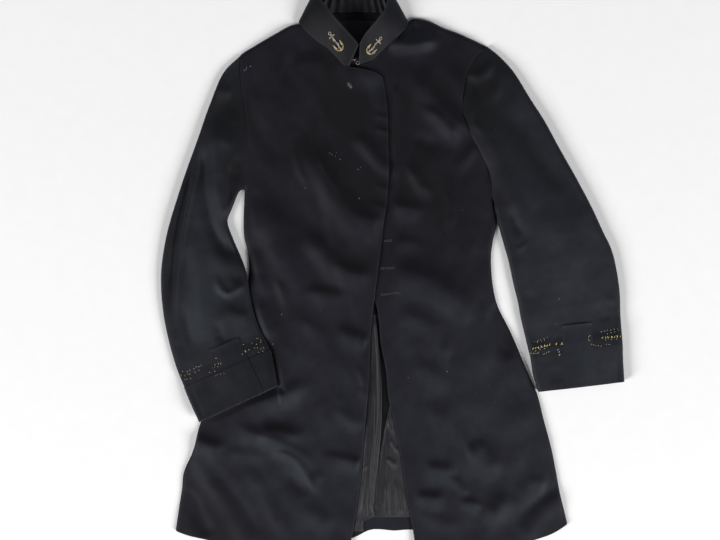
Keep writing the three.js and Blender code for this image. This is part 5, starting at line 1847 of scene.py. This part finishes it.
BODY_CLOTH = broadcloth("body_broadcloth", (0.0038, 0.0033, 0.0048, 1), (0.0070, 0.0064, 0.0107, 1),
                        (0.0138, 0.0160, 0.0210, 1), (0.042, 0.042, 0.048, 1))
SLEEVE_CLOTH = broadcloth("sleeve_broadcloth", (0.0043, 0.0042, 0.0052, 1), (0.0082, 0.0083, 0.0120, 1),
                          (0.0157, 0.0183, 0.0238, 1), (0.045, 0.047, 0.055, 1))
# The collar's colours are darker than the body's: painted shade on a band that stands up towards the lamps.
COLLAR_CLOTH = broadcloth("collar_broadcloth", (0.0033, 0.0033, 0.0044, 1), (0.0050, 0.0050, 0.0072, 1),
                          (0.0083, 0.0089, 0.0116, 1), (0.04, 0.042, 0.048, 1), sheen=0.12)
SKIRT_SATIN = satin("skirt_satin", (0.0048, 0.0043, 0.0068, 1), (0.0138, 0.0128, 0.0182, 1), 0.55)
COLLAR_SATIN = satin("collar_satin", (0.0042, 0.0038, 0.0057, 1), (0.0108, 0.0100, 0.0138, 1), 0.56)
NECK_SATIN = satin("neck_satin", (0.0088, 0.0072, 0.0110, 1), (0.019, 0.016, 0.022, 1), 0.7)
BULLION = {
    "gold": metal_thread("gold_bullion", (0.56, 0.47, 0.27, 1), (0.33, 0.24, 0.12, 1), 0.6, 0.42),
    "silver": metal_thread("silver_bullion", (0.52, 0.48, 0.46, 1), (0.22, 0.19, 0.2, 1), 0.6, 0.42),
}
LACE_THREAD = {
    "gold": metal_thread("lace_gold", (0.9, 0.78, 0.3, 1), (0.6, 0.48, 0.16, 1), 0.25, 0.5),
    "pale": metal_thread("lace_pale", (0.95, 0.92, 0.8, 1), (0.75, 0.7, 0.52, 1), 0.15, 0.5),
}
SILK = spun_thread("buttonhole_twist", (0.045, 0.045, 0.056, 1), (0.02, 0.02, 0.025, 1))
LINT = spun_thread("white_thread", (0.62, 0.64, 0.68, 1), (0.4, 0.42, 0.46, 1))
WIRE_METAL = metal_thread("plated_wire", (0.36, 0.35, 0.33, 1), (0.12, 0.1, 0.09, 1), 0.95, 0.36)

# ---- making and placing the pieces ----


def finish_piece(piece, finish, slot, *nodes):
    piece.data.materials.append(finish)
    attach(piece, "root")
    if nodes:
        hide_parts(*nodes)
    return piece


def cut_of(piece):
    """A piece's flat width, length and area in metres, from its UV map and half its surface."""
    uv = np.zeros(len(piece.data.loops) * 2, np.float32)
    piece.data.uv_layers["cloth"].data.foreach_get("uv", uv)
    uv = uv.reshape(-1, 2)
    area = sum(p.area for p in piece.data.polygons) / 2
    width, length = (uv.max(0) - uv.min(0)).tolist()
    return (width, length), min(area, width * length)


def lay_cloth(piece, finish, slot, node):
    finish_piece(piece, finish, slot, node)
    flat, area = cut_of(piece)
    return piece


body = {}
for name, made in (("back_right", back("right", beside_line(centre_back, 0.1))),
                   ("back_left", back("left", beside_line(centre_back, -0.1)))):
    body[name] = lay_cloth(made, BODY_CLOTH, "broadcloth", name)
for side, edge in (("left", hidden_edge), ("right", lap_edge)):
    name = f"front_{side}"
    under = ["right_back", "left_back"] + (["left_front"] if side == "right" else [])
    body[name] = lay_cloth(front(side, edge), BODY_CLOTH, "broadcloth", name)

for side in ("right", "left"):
    lay_cloth(skirt_lining(side), SKIRT_SATIN, "satin", f"skirt_lining_{side}")
lay_cloth(neck_lining(), NECK_SATIN, "satin", "neck_lining")

arms = {}
for side in ("right", "left"):
    top, under = sleeve(side)
    rests_on = ["right_front"] if side == "right" else []
    lay_cloth(top, SLEEVE_CLOTH, "broadcloth", f"sleeve_top_{side}")
    lay_cloth(under, SLEEVE_CLOTH, "broadcloth", f"sleeve_under_{side}")
    round_cuff = lay_cloth(cuff(side), SLEEVE_CLOTH, "broadcloth", f"cuff_{side}")
    panel = lay_cloth(slash(side, (top, round_cuff)), SLEEVE_CLOTH, "broadcloth", f"cuff_slash_{side}")
    arms[side] = (top, under, round_cuff, panel)

collar = lay_cloth(collar_band(), COLLAR_CLOTH, "broadcloth", "collar")
lay_cloth(collar_lining(), COLLAR_SATIN, "satin", "collar_lining")

thread = thread_shape()
purl = purl_shape()
for side in ("right", "left"):
    for metal, piece in anchor(side, collar, purl).items():
        finish_piece(piece, BULLION[metal], "bullion", f"collar_anchor_{side}")
    for kind, piece in lace_remnants(side, arms[side], thread).items():
        finish_piece(piece, LACE_THREAD[kind], "bullion")
finish_piece(buttonholes(body["front_left"], thread), SILK, "satin")
on_top = [body["front_right"], body["front_left"], arms["right"][0], arms["left"][0]]
finish_piece(stray_threads(on_top, thread), LINT, "satin")
finish_piece(eye(), WIRE_METAL, "wire", "collar_eye")
finish_piece(hook(), WIRE_METAL, "wire", "collar_hook")

# ---- floor, light and camera ----


def pale_floor():
    bpy.ops.object.select_all(action="DESELECT")
    bpy.ops.mesh.primitive_plane_add(size=12, location=(0, 0, -0.0005))
    floor = bpy.context.object
    floor.name = "pale_floor"
    material, shader, place = new_finish("pale_paper", {"Roughness": 0.9, "Specular IOR Level": 0.1})
    grain = noise(place, 40, 4, 0.5)
    feed(shader["Base Color"], mix_colours(grain, (0.86, 0.86, 0.87, 1), (0.9, 0.9, 0.905, 1)))
    floor.data.materials.append(material)


LAMP_SIZE = 3.1
LAMP_COLOUR = (1.0, 0.995, 0.985)
CAMERA = {"x": -0.05175, "y": -0.0033, "height": 2.0, "field": 1.1736}


def softbox(name, place, power):
    light = bpy.data.lights.new(name, "AREA")
    light.size = LAMP_SIZE
    light.energy = power
    light.color = LAMP_COLOUR
    lamp = bpy.data.objects.new(name, light)
    lamp.location = place
    lamp.rotation_euler = (-Vector(place)).to_track_quat("-Z", "Y").to_euler()
    bpy.context.scene.collection.objects.link(lamp)


def studio():
    pale_floor()
    softbox("left_lamp", (-5.7, -3.5, 3.37), 600)
    softbox("right_lamp", (5.4, -3.83, 3.37), 590)
    world = bpy.data.worlds.new("pale_room")
    world.use_nodes = True
    sky = world.node_tree.nodes["Background"].inputs
    sky["Color"].default_value = (0.97, 0.98, 1.0, 1)
    sky["Strength"].default_value = 0.15
    bpy.context.scene.world = world
    bpy.context.scene.view_settings.view_transform = "Standard"


def camera_above():
    data = bpy.data.cameras.new("above")
    data.sensor_width = 36
    data.lens = data.sensor_width * CAMERA["height"] / CAMERA["field"]
    camera = bpy.data.objects.new("above", data)
    camera.location = (CAMERA["x"], CAMERA["y"], CAMERA["height"])
    bpy.context.scene.collection.objects.link(camera)
    bpy.context.scene.camera = camera


studio()
camera_above()
